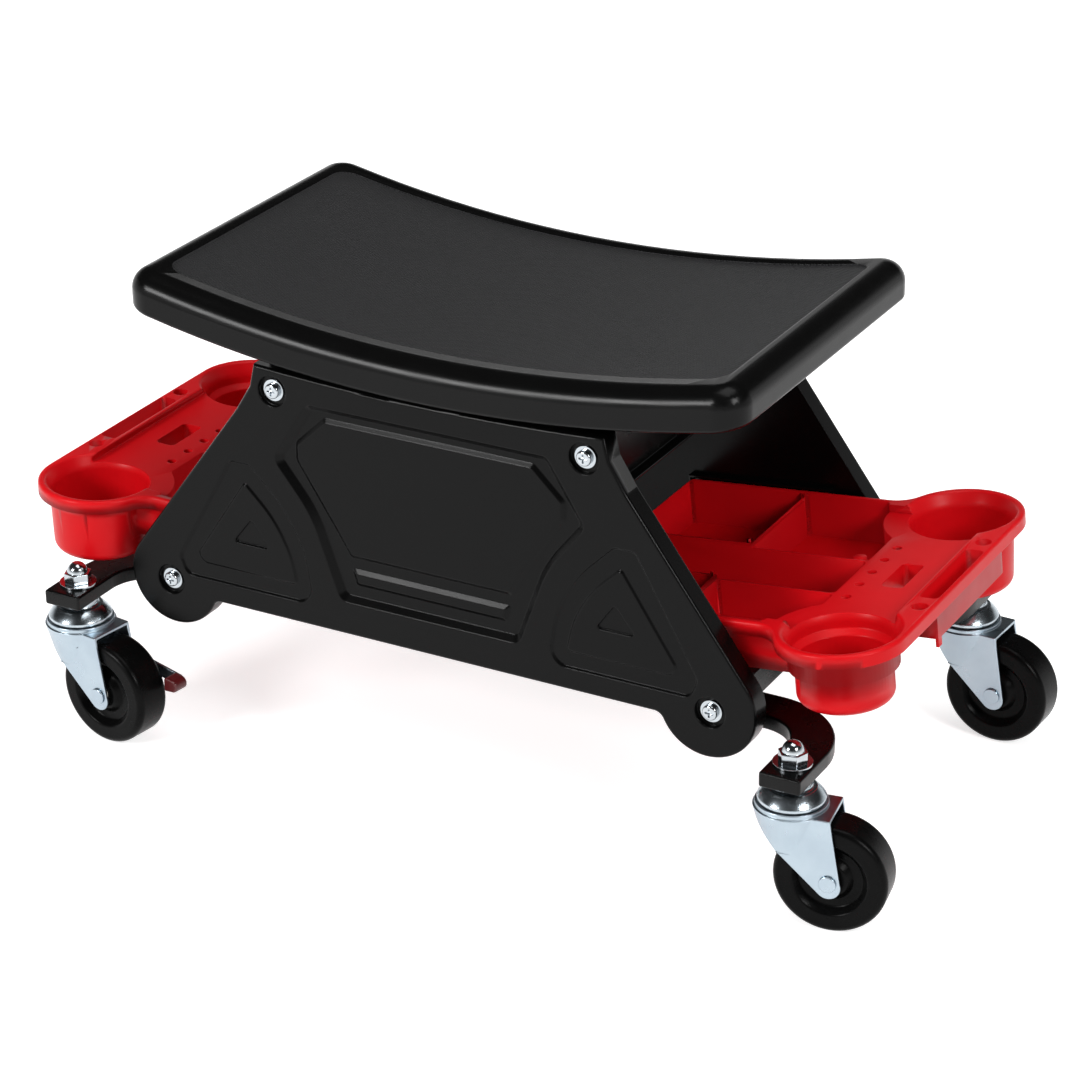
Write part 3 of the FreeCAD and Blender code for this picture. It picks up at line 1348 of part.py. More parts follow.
def deck_tools():
    """Tools for the sunk deck, its holes, its window and the slot."""
    top = size("overrun")
    under = -size("tray_depth")
    cup_y = size("cup_side")
    tools = [tray_block(size("cross_wall_place"), size("housing_edge"), -cup_y, cup_y, -size("deck_drop"), top)]
    for k in range(-2, 3):
        spot = Vector(size("small_hole_place"), k * size("small_hole_pitch"), 0)
        tools.append(ring_solid(size("small_hole_radius"), under, top, spot))
    for side in (-1, 1):
        spot = Vector(size("slot_place"), side * size("round_hole_side"), 0)
        tools.append(ring_solid(size("round_hole_radius"), -size("round_hole_depth"), top, spot))
    for place, width, length, radius, low in (
        ("window_place", size("window_width"), size("window_length"), size("window_corner_radius"), under),
        ("slot_place", size("slot_width"), 2 * size("slot_half_length"), size("window_corner_radius"),
         -size("slot_depth")),
    ):
        x = size(place)
        hole = tray_block(x - width / 2, x + width / 2, -length / 2, length / 2, low, top)
        tools.append(hole.makeFillet(radius, upright_edges(hole, lambda point: True)))
    return tools


def tray_shape():
    """Whole tray in its own frame."""
    wall = size("tray_wall")
    well = size("tray_half_width") - size("tray_rim_ledge")
    end = size("cup_place") + size("cup_lip_radius")
    box_well = tray_block(0, size("deck_edge") + wall, -well, well, -size("tray_depth"), 0)
    box_well = box_well.makeFillet(size("tray_corner_radius"),
                                   upright_edges(box_well, lambda point: abs(point.x) < 0.01))
    face = end - size("housing_inset")
    housing_front = size("housing_front")
    housing = tray_block(size("housing_edge"), face, housing_front, size("housing_rear"),
                         -size("housing_depth"), 0)
    housing = housing.makeFillet(size("housing_corner_radius"), upright_edges(
        housing, lambda point: point.x > face - wall and point.y > 0))
    tab_low = -size("housing_depth") - size("tray_tab_drop")
    tab = tray_block(face - wall, face, housing_front, housing_front + size("tray_tab_width"), tab_low, 0)
    skirt_x = size("window_width") / 2 + wall
    skirt_y = size("window_length") / 2 + wall
    window_x = size("window_place")
    skirt = tray_block(window_x - skirt_x, window_x + skirt_x, -skirt_y, skirt_y, -size("window_skirt"), 0)
    skirt = skirt.makeFillet(size("window_corner_radius") + wall, upright_edges(skirt, lambda point: True))
    rim = tray_rim()
    under_rim = tray_block(0, end, -2 * well, 2 * well, -size("tray_rim_height"), size("overrun"))
    lower = box_well.fuse([housing, tab, skirt, plain_cup(), stepped_cup()]).cut(under_rim)
    solid = rim.fuse(lower).removeSplitter()
    for tool in deck_tools() + cup_tools() + tray_cells():
        solid = solid.cut(tool)
    boss_top = -size("tray_boss_drop")
    boss_low = -size("tray_depth") + wall
    boss = ring_solid(size("tray_boss_radius"), boss_low, boss_top,
                      Vector(size("tray_boss_place"), size("tray_boss_side"), 0))
    return solid.fuse(boss).removeSplitter()


TRAY = tray_shape()
for node, side in (("tray_right", 1), ("tray_left", -1)):
    tray = drawn(node.title().replace("_", ""), TRAY)
    piece(node, tray, runner_frame(side))

# Runners: a channel on the inner face of each panel, in the frame of the tray that slides in it
runner_depth = "(tray_rim_height + runner_gap)"
for node, tray_side, y_side in (("runner_right_rear", 1, 1), ("runner_right_front", 1, -1),
                                ("runner_left_rear", -1, 1), ("runner_left_front", -1, -1)):
    title = node.title().replace("_", "")
    local = y_side * tray_side
    low_ledge = "-%s - runner_ledge_sheet" % runner_depth

    def from_face(depth):
        """Lower Y of a strip that reaches a depth in from the panel's face."""
        return "%s - %s" % (inner_face, depth) if local > 0 else "-" + inner_face

    start = "-runner_gap - runner_sheet"
    web = box(title + "Web", "runner_length", "runner_sheet",
              "runner_gap + runner_lip_sheet + %s + runner_ledge_sheet" % runner_depth,
              x=start, y=from_face("runner_sheet"), z=low_ledge)
    ledge = box(title + "Ledge", "runner_length", "runner_ledge", "runner_ledge_sheet",
                x=start, y=from_face("runner_ledge"), z=low_ledge)
    lip = box(title + "Lip", "runner_length", "runner_lip", "runner_lip_sheet",
              x=start, y=from_face("runner_lip"), z="runner_gap")
    stop = box(title + "Stop", "runner_sheet", "runner_lip", "%s + 2 * runner_gap" % runner_depth,
               x=start, y=from_face("runner_lip"), z="-%s - runner_gap / 2" % runner_depth)
    holes = [cylinder("%sHole%d" % (title, k), "runner_screw_radius + screw_clearance", "4 * runner_ledge",
                      x=x, y="%s%s" % ("" if local > 0 else "-", inner_face) + " - 2 * runner_ledge",
                      z="-runner_screw_drop", turn=along_y)
             for k, x in enumerate(("runner_screw_inset", "runner_length - 2 * runner_screw_inset"))]
    runner = trimmed(title, fused(title + "Channel", web, ledge, lip, stop), *holes)
    piece(node, runner, runner_frame(tray_side))

runner_screws = []
for tray_side in (1, -1):
    for local in (1, -1):
        for k, x in enumerate(runner_screw_places()):
            title = "RunnerScrew%d%d%d" % (tray_side + 1, local + 1, k)
            head = cylinder(title + "Head", "runner_screw_head_radius", "runner_screw_head_height")
            shank = cylinder(title + "Shank", "runner_screw_radius", "runner_screw_bite + runner_sheet",
                             z="-runner_screw_bite - runner_sheet")
            screw = fused(title, head, shank)
            face = size("panel_outer_side") - size("panel_thickness") - size("runner_sheet")
            spot = Vector(x, local * face, -size("runner_screw_drop"))
            screw.Placement = runner_frame(tray_side) * Placement(spot, Rotation(X_AXIS, 90 * local))
            runner_screws.append(screw)
piece("runner_screws", gathered("RunnerScrews", runner_screws))

DOC.recompute()

# Nothing is written unless every object and every sub-part is sound
for item in DOC.Objects:
    if "Invalid" in item.State or "Error" in item.State:
        raise RuntimeError("%s failed: %s" % (item.Name, item.State))
for node, item in PIECES.items():
    if item.Shape.isNull() or not item.Shape.isValid():
        raise RuntimeError("%s has no valid shape" % node)

os.makedirs("parts", exist_ok=True)
for node, item in PIECES.items():
    item.Shape.exportStep("parts/%s.step" % node)
    print(node, len(item.Shape.Solids), round(item.Shape.Volume))
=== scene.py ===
"""Creeper seat with two tool trays: looks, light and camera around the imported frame."""

import json
import logging
import math
from dataclasses import dataclass
from enum import Enum

import bpy
from mathutils import Matrix, Vector


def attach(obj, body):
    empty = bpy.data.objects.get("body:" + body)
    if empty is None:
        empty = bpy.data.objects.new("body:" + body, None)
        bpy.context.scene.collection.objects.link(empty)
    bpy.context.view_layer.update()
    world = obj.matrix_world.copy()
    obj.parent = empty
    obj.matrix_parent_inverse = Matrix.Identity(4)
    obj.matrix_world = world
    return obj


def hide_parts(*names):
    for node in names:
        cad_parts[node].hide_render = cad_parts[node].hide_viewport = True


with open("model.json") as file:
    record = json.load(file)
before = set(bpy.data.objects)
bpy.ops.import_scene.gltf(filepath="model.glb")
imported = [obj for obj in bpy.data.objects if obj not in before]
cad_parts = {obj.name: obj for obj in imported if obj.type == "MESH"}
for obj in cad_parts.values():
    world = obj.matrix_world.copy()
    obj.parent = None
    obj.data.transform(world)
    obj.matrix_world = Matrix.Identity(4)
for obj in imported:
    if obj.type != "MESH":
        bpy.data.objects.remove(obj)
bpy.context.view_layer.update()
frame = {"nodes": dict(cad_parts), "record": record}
LOG = logging.getLogger("creeper_seat")
MM = 0.001
WHITE = "#ffffff"
Point = tuple[float, float, float]
Socket = bpy.types.NodeSocket
Tree = bpy.types.NodeTree


class Shading(Enum):
    """How a surface is smoothed, by the sharpest angle that stays soft, in degrees."""

    FILLETED = 62.0
    MOULDED = 42.0
    PRESSED = 38.0
    MACHINED = 30.0


class Side(Enum):
    """Left or right end of the seat, as the names of nodes say it."""

    LEFT = "left"
    RIGHT = "right"


class Panel(Enum):
    """Front or rear side panel, as the names of nodes say it."""

    FRONT = "front"
    REAR = "rear"


class Corner(Enum):
    """The four caster corners, as the names of nodes say them."""

    FRONT_LEFT = "front_left"
    FRONT_RIGHT = "front_right"
    REAR_LEFT = "rear_left"
    REAR_RIGHT = "rear_right"

    @property
    def has_brake(self) -> bool:
        """Whether the caster at this corner has a foot brake."""
        return self in (Corner.FRONT_LEFT, Corner.REAR_LEFT)


class Blend(Enum):
    """What a Mix node blends, and the numbers of its two inputs and its output."""

    NUMBERS = ("FLOAT", 2, 3, 0)
    COLOURS = ("RGBA", 6, 7, 2)


# ---- colours and node trees


def linear(code: str) -> tuple[float, float, float, float]:
    """Turn an sRGB hex colour to linear values.

    Args:
        code: Six hex digits after a hash mark.

    Returns:
        Red, green, blue and a full alpha.
    """
    shares = [int(code[i : i + 2], 16) / 255 for i in (1, 3, 5)]
    red, green, blue = (s / 12.92 if s <= 0.04045 else ((s + 0.055) / 1.055) ** 2.4 for s in shares)
    return red, green, blue, 1.0


def add_node(
    tree: Tree, kind: str, links: dict[str | int, object] | None = None, **settings: object
) -> bpy.types.Node:
    """Add a node with its settings and what goes into it.

    Args:
        tree: The node tree that gets the node.
        kind: Blender's name for the node.
        links: Input name or number to an output socket, or to a plain value.
        settings: Properties of the node itself.

    Returns:
        The new node.
    """
    node = tree.nodes.new(kind)
    for name, value in settings.items():
        setattr(node, name, value)
    for name, value in (links or {}).items():
        if isinstance(value, Socket):
            tree.links.new(value, node.inputs[name])
        else:
            node.inputs[name].default_value = value
    return node


def work_out(tree: Tree, operation: str, *values: Socket | float) -> Socket:
    """Add a Math node.

    Args:
        tree: The node tree that gets the node.
        operation: Blender's name for the sum.
        values: Its inputs, in their order.

    Returns:
        The number that comes out.
    """
    return add_node(tree, "ShaderNodeMath", dict(enumerate(values)), operation=operation).outputs[0]


def work_out_vector(tree: Tree, operation: str, *values: Socket | Point) -> bpy.types.Node:
    """Add a Vector Math node.

    Args:
        tree: The node tree that gets the node.
        operation: Blender's name for the sum.
        values: Its inputs, in their order.

    Returns:
        The node, whose first output is a vector and whose output Value is a number.
    """
    return add_node(tree, "ShaderNodeVectorMath", dict(enumerate(values)), operation=operation)


def remap(
    tree: Tree, value: Socket, span: tuple[float, float], low: float = 0.0, high: float = 1.0
) -> Socket:
    """Stretch a span of a value over another one, and hold it at the ends.

    Args:
        tree: The node tree that gets the node.
        value: The value.
        span: The part of its reach that counts.
        low: What comes out at the span's start.
        high: What comes out at the span's end.

    Returns:
        The stretched value.
    """
    links = {"Value": value, "From Min": span[0], "From Max": span[1], "To Min": low, "To Max": high}
    return add_node(tree, "ShaderNodeMapRange", links).outputs["Result"]


def blend(tree: Tree, kind: Blend, share: Socket, first: object, second: object) -> Socket:
    """Blend two numbers or two colours.

    Args:
        tree: The node tree that gets the node.
        kind: What is blended.
        share: How much of the second there is.
        first: The one at a share of nought.
        second: The one at a share of one.

    Returns:
        The blended value.
    """
    data_type, first_input, second_input, output = kind.value
    links = {"Factor": share, first_input: first, second_input: second}
    return add_node(tree, "ShaderNodeMix", links, data_type=data_type).outputs[output]


def cloud(tree: Tree, place: Socket, size_mm: float, octaves: float) -> Socket:
    """Add soft noise whose blots have a real size.

    Args:
        tree: The node tree that gets the node.
        place: Coordinates in metres.
        size_mm: Width of a blot.
        octaves: How many finer layers of noise it holds.

    Returns:
        The noise, about 0.5 in the middle.
    """
    links = {"Vector": place, "Scale": 1 / (size_mm * MM), "Detail": octaves}
    return add_node(tree, "ShaderNodeTexNoise", links).outputs["Fac"]


def raised(tree: Tree, height: Socket, depth_mm: float, under: Socket | None) -> Socket:
    """Raise a relief on a surface.

    Args:
        tree: The node tree that gets the node.
        height: The relief, from nought to one.
        depth_mm: How high one stands.
        under: The normal under the relief, or None for the mesh's own.

    Returns:
        The normal of the raised surface.
    """
    links = {"Height": height, "Distance": depth_mm * MM}
    if under is not None:
        links["Normal"] = under
    return add_node(tree, "ShaderNodeBump", links).outputs["Normal"]


# ---- finishes


@dataclass(frozen=True)
class Finish:
    """A material, from what it is made of and how its surface was made."""

    name: str
    colour: str
    roughness: float
    metallic: float = 0.0
    specular: float = 0.5
    patch: str = ""
    patch_mm: float = 30.0
    patch_octaves: float = 3.0
    patch_span: tuple[float, float] = (0.35, 0.65)
    gloss_spread: float = 0.05
    gloss_mm: float = 25.0
    gloss_octaves: float = 4.0
    gloss_span: tuple[float, float] = (0.3, 0.7)
    grain_mm: float = 0.6
    grain_depth_mm: float = 0.004
    grain_octaves: float = 2.0
    edge_mm: float = 0.0
    edge_samples: int = 6

    def material(self) -> bpy.types.Material:
        """Find the material by its name, or build it the first time.

        Returns:
            The material.
        """
        found = bpy.data.materials.get(self.name)
        return found if found else self.build()

    def build(self) -> bpy.types.Material:
        """Build the node tree: colour, gloss that varies a little, and the relief.

        Returns:
            The new material.
        """
        made = bpy.data.materials.new(self.name)
        made.use_nodes = True
        tree = made.node_tree
        tree.nodes.clear()
        plain = {
            "Base Color": linear(self.colour),
            "Roughness": self.roughness,
            "Metallic": self.metallic,
            "Specular IOR Level": self.specular,
        }
        shader = add_node(tree, "ShaderNodeBsdfPrincipled", plain)
        place = add_node(tree, "ShaderNodeTexCoord").outputs["Object"]
        if self.patch:
            tree.links.new(self.colour_socket(tree, place), shader.inputs["Base Color"])
        tree.links.new(self.gloss_socket(tree, place), shader.inputs["Roughness"])
        tree.links.new(self.relief_socket(tree, place), shader.inputs["Normal"])
        add_node(tree, "ShaderNodeOutputMaterial", {"Surface": shader.outputs["BSDF"]})
        return made

    def colour_socket(self, tree: Tree, place: Socket) -> Socket:
        """Mix the two colours in soft patches.

        Args:
            tree: The material's node tree.
            place: Object coordinates.

        Returns:
            The mixed colour.
        """
        share = remap(tree, cloud(tree, place, self.patch_mm, self.patch_octaves), self.patch_span)
        return blend(tree, Blend.COLOURS, share, linear(self.colour), linear(self.patch))

    def gloss_socket(self, tree: Tree, place: Socket) -> Socket:
        """Let the roughness wander either side of its value.

        Args:
            tree: The material's node tree.
            place: Object coordinates.

        Returns:
            The roughness.
        """
        low, high = self.roughness - self.gloss_spread, self.roughness + self.gloss_spread
        return remap(tree, cloud(tree, place, self.gloss_mm, self.gloss_octaves), self.gloss_span, low, high)

    def relief_socket(self, tree: Tree, place: Socket) -> Socket:
        """Raise the grain that the mould, the plating or the tool left.

        Args:
            tree: The material's node tree.
            place: Object coordinates.

        Returns:
            The normal of the grained surface.
        """
        return self.grained(tree, place, self.rounded_edges(tree))

    def rounded_edges(self, tree: Tree) -> Socket | None:
        """Round the light over sharp edges, as the tool's own small radii do.

        Args:
            tree: The material's node tree.

        Returns:
            The softened normal, or None where the edges stay sharp.
        """
        if not self.edge_mm:
            return None
        links = {"Radius": self.edge_mm * MM}
        return add_node(tree, "ShaderNodeBevel", links, samples=self.edge_samples).outputs["Normal"]

    def grained(self, tree: Tree, place: Socket, under: Socket | None) -> Socket:
        """Add the grain over a normal.

        Args:
            tree: The material's node tree.
            place: Object coordinates.
            under: The normal under the grain, or None for the mesh's own.

        Returns:
            The normal of the grained surface.
        """
        grain = cloud(tree, place, self.grain_mm, self.grain_octaves)
        return raised(tree, grain, self.grain_depth_mm, under)


@dataclass(frozen=True)
class SeatSkin(Finish):
    """Moulded polypropylene: a satin rim round a field of fine crossed ribs, whose greyer look is painted
    light.
    """

    # The field's grey is painted light: the light the ribs scatter, laid into the colour of the same black
    # plastic.
    field_painted_light_grey: str = "#2a2a2b"
    field_roughness: float = 0.5
    field_half_length_mm: float = 223.5
    field_half_width_mm: float = 121.0
    field_corner_mm: float = 14.0
    least_upward: float = 0.5
    rib_pitch_mm: float = 2.4
    rib_depth_mm: float = 0.3
    rib_ways: tuple[tuple[float, float], ...] = ((0.5, 0.866), (0.5, -0.866))

    def field_mask(self, tree: Tree, place: Socket) -> Socket:
        """Find the ribbed field on top of the seat, inside its rounded outline.

        Args:
            tree: The material's node tree.
            place: Object coordinates.

        Returns:
            One inside the field and nought on the rim.
        """
        halves = (self.field_half_length_mm, self.field_half_width_mm)
        reach = [(half - self.field_corner_mm) * MM for half in halves]
        flat = work_out_vector(tree, "MULTIPLY", place, (1.0, 1.0, 0.0)).outputs[0]
        folded = work_out_vector(tree, "ABSOLUTE", flat).outputs[0]
        past = work_out_vector(tree, "SUBTRACT", folded, (*reach, 0.0)).outputs[0]
        kept = work_out_vector(tree, "MAXIMUM", past, (0.0, 0.0, 0.0)).outputs[0]
        away = work_out_vector(tree, "LENGTH", kept).outputs["Value"]
        inside = work_out(tree, "LESS_THAN", away, self.field_corner_mm * MM)
        normal = add_node(tree, "ShaderNodeNewGeometry").outputs["Normal"]
        slope = add_node(tree, "ShaderNodeSeparateXYZ", {"Vector": normal}).outputs["Z"]
        upward = work_out(tree, "GREATER_THAN", slope, self.least_upward)
        return work_out(tree, "MULTIPLY", inside, upward)

    def colour_socket(self, tree: Tree, place: Socket) -> Socket:
        """Paint the field a little greyer: painted light, standing in for the light its fine ribs scatter.

        Args:
            tree: The material's node tree.
            place: Object coordinates.

        Returns:
            The colour.
        """
        share = self.field_mask(tree, place)
        return blend(tree, Blend.COLOURS, share, linear(self.colour), linear(self.field_painted_light_grey))

    def gloss_socket(self, tree: Tree, place: Socket) -> Socket:
        """Make the field rougher than the rim.

        Args:
            tree: The material's node tree.
            place: Object coordinates.

        Returns:
            The roughness.
        """
        rim = super().gloss_socket(tree, place)
        return blend(tree, Blend.NUMBERS, self.field_mask(tree, place), rim, self.field_roughness)

    def relief_socket(self, tree: Tree, place: Socket) -> Socket:
        """Cross two sets of ribs on the field, under the fine grain of the mould.

        Args:
            tree: The material's node tree.
            place: Object coordinates.

        Returns:
            The normal of the ribbed surface.
        """
        parts = add_node(tree, "ShaderNodeSeparateXYZ", {"Vector": place})
        turns = 2 * math.pi / (self.rib_pitch_mm * MM)
        waves = []
        for along, across in self.rib_ways:
            first = work_out(tree, "MULTIPLY", parts.outputs["X"], along * turns)
            second = work_out(tree, "MULTIPLY_ADD", parts.outputs["Y"], across * turns, first)
            waves.append(work_out(tree, "SINE", second))
        ribs = work_out(tree, "MAXIMUM", *waves)
        kept = work_out(tree, "MULTIPLY", ribs, self.field_mask(tree, place))
        ribbed = raised(tree, kept, self.rib_depth_mm, self.rounded_edges(tree))
        return self.grained(tree, place, ribbed)


# Black polypropylene, moulded: deep black with a broad soft sheen on the rim
SEAT = SeatSkin(
    "moulded_polypropylene_seat", "#080808", 0.24, specular=0.12,
    patch="#080809",
    gloss_spread=0.03,
    edge_mm=0.6,
)
# Black ABS from a fine satin mould: the mould's texture dulls it, and its edges stay crisp and light
PANEL = Finish(
    "satin_moulded_abs", "#070707", 0.24, specular=0.1,
    gloss_spread=0.03, gloss_mm=60,
    grain_mm=0.9, grain_depth_mm=0.006,
    edge_mm=1.2,
)
# Red polypropylene, moulded: saturated, with a slightly waxy sheen
TRAY = Finish(
    "moulded_red_polypropylene", "#c80a13", 0.36, specular=0.14,
    patch="#c10911", patch_mm=60,
    gloss_spread=0.03,
    grain_mm=1.2, grain_depth_mm=0.006,
    edge_mm=0.9,
)
# Steel under black powder coat: faint orange peel, a soft gloss
BLACK_STEEL = Finish(
    "black_powder_coat", "#060606", 0.26, specular=0.16,
    gloss_spread=0.05,
    grain_mm=1.5, grain_depth_mm=0.012,
)
# Pressed steel under bright zinc: cool and satin, with the bath's faint cloudiness
ZINC = Finish(
    "bright_zinc_plate", "#a6b3bc", 0.3, metallic=1.0,
    patch="#9facb6", patch_mm=22,
    gloss_spread=0.04, gloss_mm=14,
    grain_mm=1.6, grain_depth_mm=0.003,
    edge_mm=0.8,
)
# Turned and headed steel, zinc plated and smooth: bright bands with a soft end
POLISHED = Finish(
    "polished_zinc_plate", "#b3b8bc", 0.15, metallic=1.0,
    patch="#a9afb4", patch_mm=10,
    gloss_spread=0.03,
    grain_mm=1.8, grain_depth_mm=0.002,
)
# Deep-drawn steel under the same zinc: softer bands, since drawing stretches the surface
DRAWN = Finish(
    "drawn_zinc_plate", "#b4bdc3", 0.22, metallic=1.0,
    patch="#a8b2b9", patch_mm=14,
    gloss_spread=0.04, gloss_mm=10,
    grain_mm=1.6, grain_depth_mm=0.003,
    edge_mm=0.8,
)
# Hardened bearing steel, ground: clean and bright
BEARING = Finish(
    "hardened_bearing_steel", "#d8d8da", 0.08, metallic=1.0, gloss_spread=0.02, grain_depth_mm=0.001
)
# Hard black polyolefin, moulded, with a fine satin skin
WHEEL = Finish(
    "hard_moulded_polyolefin", "#060606", 0.28, specular=0.06,
    patch="#090909", patch_mm=18,
    gloss_spread=0.04, gloss_mm=12,
    grain_mm=0.8, grain_depth_mm=0.008,
    edge_mm=0.8,
)
# Natural acetal, moulded: off-white and plain
BUSH = Finish("natural_acetal", "#c9c7bd", 0.45)
# Dark red nylon, moulded: a dull gloss
PEDAL = Finish("moulded_dark_red_nylon", "#4a0b0e", 0.4, gloss_spread=0.04)

SLOT_FINISH: dict[str, Finish] = {
    "seat_plastic": SEAT,
    "panel_plastic": PANEL,
    "tray_plastic": TRAY,
    "black_steel": BLACK_STEEL,
    "zinc_steel": ZINC,
    "bearing_steel": BEARING,
    "wheel_plastic": WHEEL,
    "bush_plastic": BUSH,
    "pedal_plastic": PEDAL,
}


# ---- working on objects


def pick_none() -> None:
    """Deselect every object."""
    bpy.ops.object.select_all(action="DESELECT")


def take(piece: bpy.types.Object) -> None:
    """Select one object alone and make it active.

    Args:
        piece: The object.
    """
    pick_none()
    piece.select_set(True)
    bpy.context.view_layer.objects.active = piece


def soften(piece: bpy.types.Object, shading: Shading) -> None:
    """Smooth a piece up to the angle of its kind.

    Args:
        piece: The object.
        shading: Its kind of surface.
    """
    take(piece)
    bpy.ops.object.shade_smooth_by_angle(angle=math.radians(shading.value))


def apply_modifier(piece: bpy.types.Object, kind: str, **settings: object) -> None:
    """Add a modifier and apply it at once.

    Args:
        piece: The object that gets it.
        kind: Blender's name for the modifier.
        settings: The modifier's properties.
    """
    take(piece)
    modifier = piece.modifiers.new(kind.title(), kind)
    for name, value in settings.items():
        setattr(modifier, name, value)
    bpy.ops.object.modifier_apply(modifier=modifier.name)


def body_of(node: str) -> str:
    """Name the body that a CAD node rides on.

    Args:
        node: The node's name.

    Returns:
        The body's name.
    """
    bodies = frame["record"]["behaviour"]["bodies"]
    return next(body for body, members in bodies.items() if node in members)


def slot_of(node: str) -> str:
    """Name the record's material slot of a CAD node.

    Args:
        node: The node's name.

    Returns:
        The slot's name.
    """
    return next(item["material_slot"] for item in frame["record"]["subparts"] if item["node"] == node)


def cover(piece: bpy.types.Object, finish: Finish) -> None:
    """Give a piece one material all over.

    Args:
        piece: The object.
        finish: Its finish.
    """
    piece.data.materials.clear()
    piece.data.materials.append(finish.material())


@dataclass
class EasedCopy:
    """A CAD node's own shape with its sharp edges eased, as moulding, pressing or tumbling leaves them."""

    node: str
    ease_mm: float = 0.0
    shading: Shading = Shading.MACHINED
    steps: int = 2
    sharp_degrees: float = 30.0
    finish: Finish | None = None
    merge_mm: float = 0.002
    flat_degrees: float = 0.4

    def build(self) -> bpy.types.Object:
        """Copy the node, merge it, ease its edges and dress it.

        Returns:
            The piece that stands for the node.
        """
        piece = self.merged_copy()
        if self.ease_mm:
            apply_modifier(
                piece,
                "BEVEL",
                width=self.ease_mm * MM,
                segments=self.steps,
                limit_method="ANGLE",
                angle_limit=math.radians(self.sharp_degrees),
                use_clamp_overlap=False,
                miter_outer="MITER_ARC",
            )
        soften(piece, self.shading)
        apply_modifier(piece, "WEIGHTED_NORMAL", keep_sharp=True)
        self.dress(piece)
        return piece

    def merged_copy(self) -> bpy.types.Object:
        """Copy the node's mesh, merge its corners and join the flat faces between them.

        Returns:
            The copy, at the origin.
        """
        source = frame["nodes"][self.node]
        piece = source.copy()
        piece.data = source.data.copy()
        piece.name = f"{self.node}_eased"
        piece.parent = None
        piece.matrix_world = Matrix.Identity(4)
        bpy.context.scene.collection.objects.link(piece)
        take(piece)
        bpy.ops.object.mode_set(mode="EDIT")
        bpy.ops.mesh.select_all(action="SELECT")
        bpy.ops.mesh.remove_doubles(threshold=self.merge_mm * MM)
        bpy.ops.mesh.dissolve_limited(angle_limit=math.radians(self.flat_degrees))
        bpy.ops.object.mode_set(mode="OBJECT")
        return piece

    def dress(self, piece: bpy.types.Object) -> None:
        """Give the piece its finish, from its slot unless one is given, and its body, and let it stand for
        the node.

        Args:
            piece: The finished object.
        """
        slot = slot_of(self.node)
        body = body_of(self.node)
        cover(piece, self.finish or SLOT_FINISH[slot])
        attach(piece, body)
        LOG.info("%s rides on %s", piece.name, body)
        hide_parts(self.node)


# ---- the sub-assemblies


@dataclass
class Seat:
    """The moulded saddle and the bolts under it."""

    bolt_ease_mm: float = 0.5

    def build(self) -> None:
        """Dress the seat and its bolts."""
        EasedCopy("seat", shading=Shading.FILLETED).build()
        EasedCopy("seat_bolts", self.bolt_ease_mm).build()


@dataclass
class Frame:
    """The two side panels, the cross-members, the crossbars and what screws them together."""

    member_ease_mm: float = 0.6
    crossbar_ease_mm: float = 1.6
    runner_ease_mm: float = 0.3
    screw_ease_mm: float = 0.25
    washer_ease_mm: float = 0.3
    nut_ease_mm: float = 0.4
    runner_screw_ease_mm: float = 0.3

    def build(self) -> None:
        """Dress each piece of the frame."""
        for panel in Panel:
            EasedCopy(f"side_panel_{panel.value}", shading=Shading.FILLETED).build()
        for end in Side:
            self.steel(end.value)
        EasedCopy("panel_screws", self.screw_ease_mm, finish=POLISHED).build()
        EasedCopy("panel_washers", self.washer_ease_mm, finish=POLISHED).build()
        EasedCopy("weld_nuts", self.nut_ease_mm).build()
        EasedCopy("runner_screws", self.runner_screw_ease_mm).build()

    def steel(self, end: str) -> None:
        """Dress the pressed steel at one end.

        Args:
            end: The end's name.
        """
        EasedCopy(f"upper_cross_member_{end}", self.member_ease_mm, Shading.PRESSED).build()
        EasedCopy(f"lower_crossbar_{end}", self.crossbar_ease_mm, Shading.PRESSED, steps=3).build()
        for panel in Panel:
            EasedCopy(f"runner_{end}_{panel.value}", self.runner_ease_mm, Shading.PRESSED).build()


@dataclass
class Trays:
    """The two moulded trays, whose mould's radii are in the solids."""

    ease_mm: float = 0.0

    def build(self) -> None:
        """Dress both trays."""
        for end in Side:
            EasedCopy(f"tray_{end.value}", self.ease_mm, Shading.FILLETED).build()


@dataclass
class Caster:
    """One caster: arm, swivel, wheel and, where it has one, its foot brake."""

    corner: Corner
    arm_ease_mm: float = 1.8
    arm_sharp_degrees: float = 40.0
    fork_ease_mm: float = 0.7
    axle_ease_mm: float = 0.8
    bush_ease_mm: float = 0.2
    brake_steel_ease_mm: float = 0.4
    pedal_ease_mm: float = 0.6

    def build(self) -> None:
        """Dress every piece at this corner."""
        place = self.corner.value
        EasedCopy(
            f"caster_arm_{place}", self.arm_ease_mm, Shading.PRESSED,
            steps=3, sharp_degrees=self.arm_sharp_degrees,
        ).build()
        EasedCopy(f"fork_{place}", self.fork_ease_mm, Shading.PRESSED, steps=3).build()
        EasedCopy(f"axle_{place}", self.axle_ease_mm, steps=3).build()
        EasedCopy(f"wheel_{place}", shading=Shading.FILLETED).build()
        EasedCopy(f"wheel_bush_{place}", self.bush_ease_mm).build()
        if self.corner.has_brake:
            self.brake(place)

    def brake(self, place: str) -> None:
        """Dress the lever, its pin and its pedal.

        Args:
            place: The corner's name.
        """
        EasedCopy(f"brake_lever_{place}", self.brake_steel_ease_mm, Shading.PRESSED).build()
        EasedCopy(f"brake_pin_{place}", self.brake_steel_ease_mm).build()
        EasedCopy(f"brake_pedal_{place}", self.pedal_ease_mm, Shading.MOULDED).build()


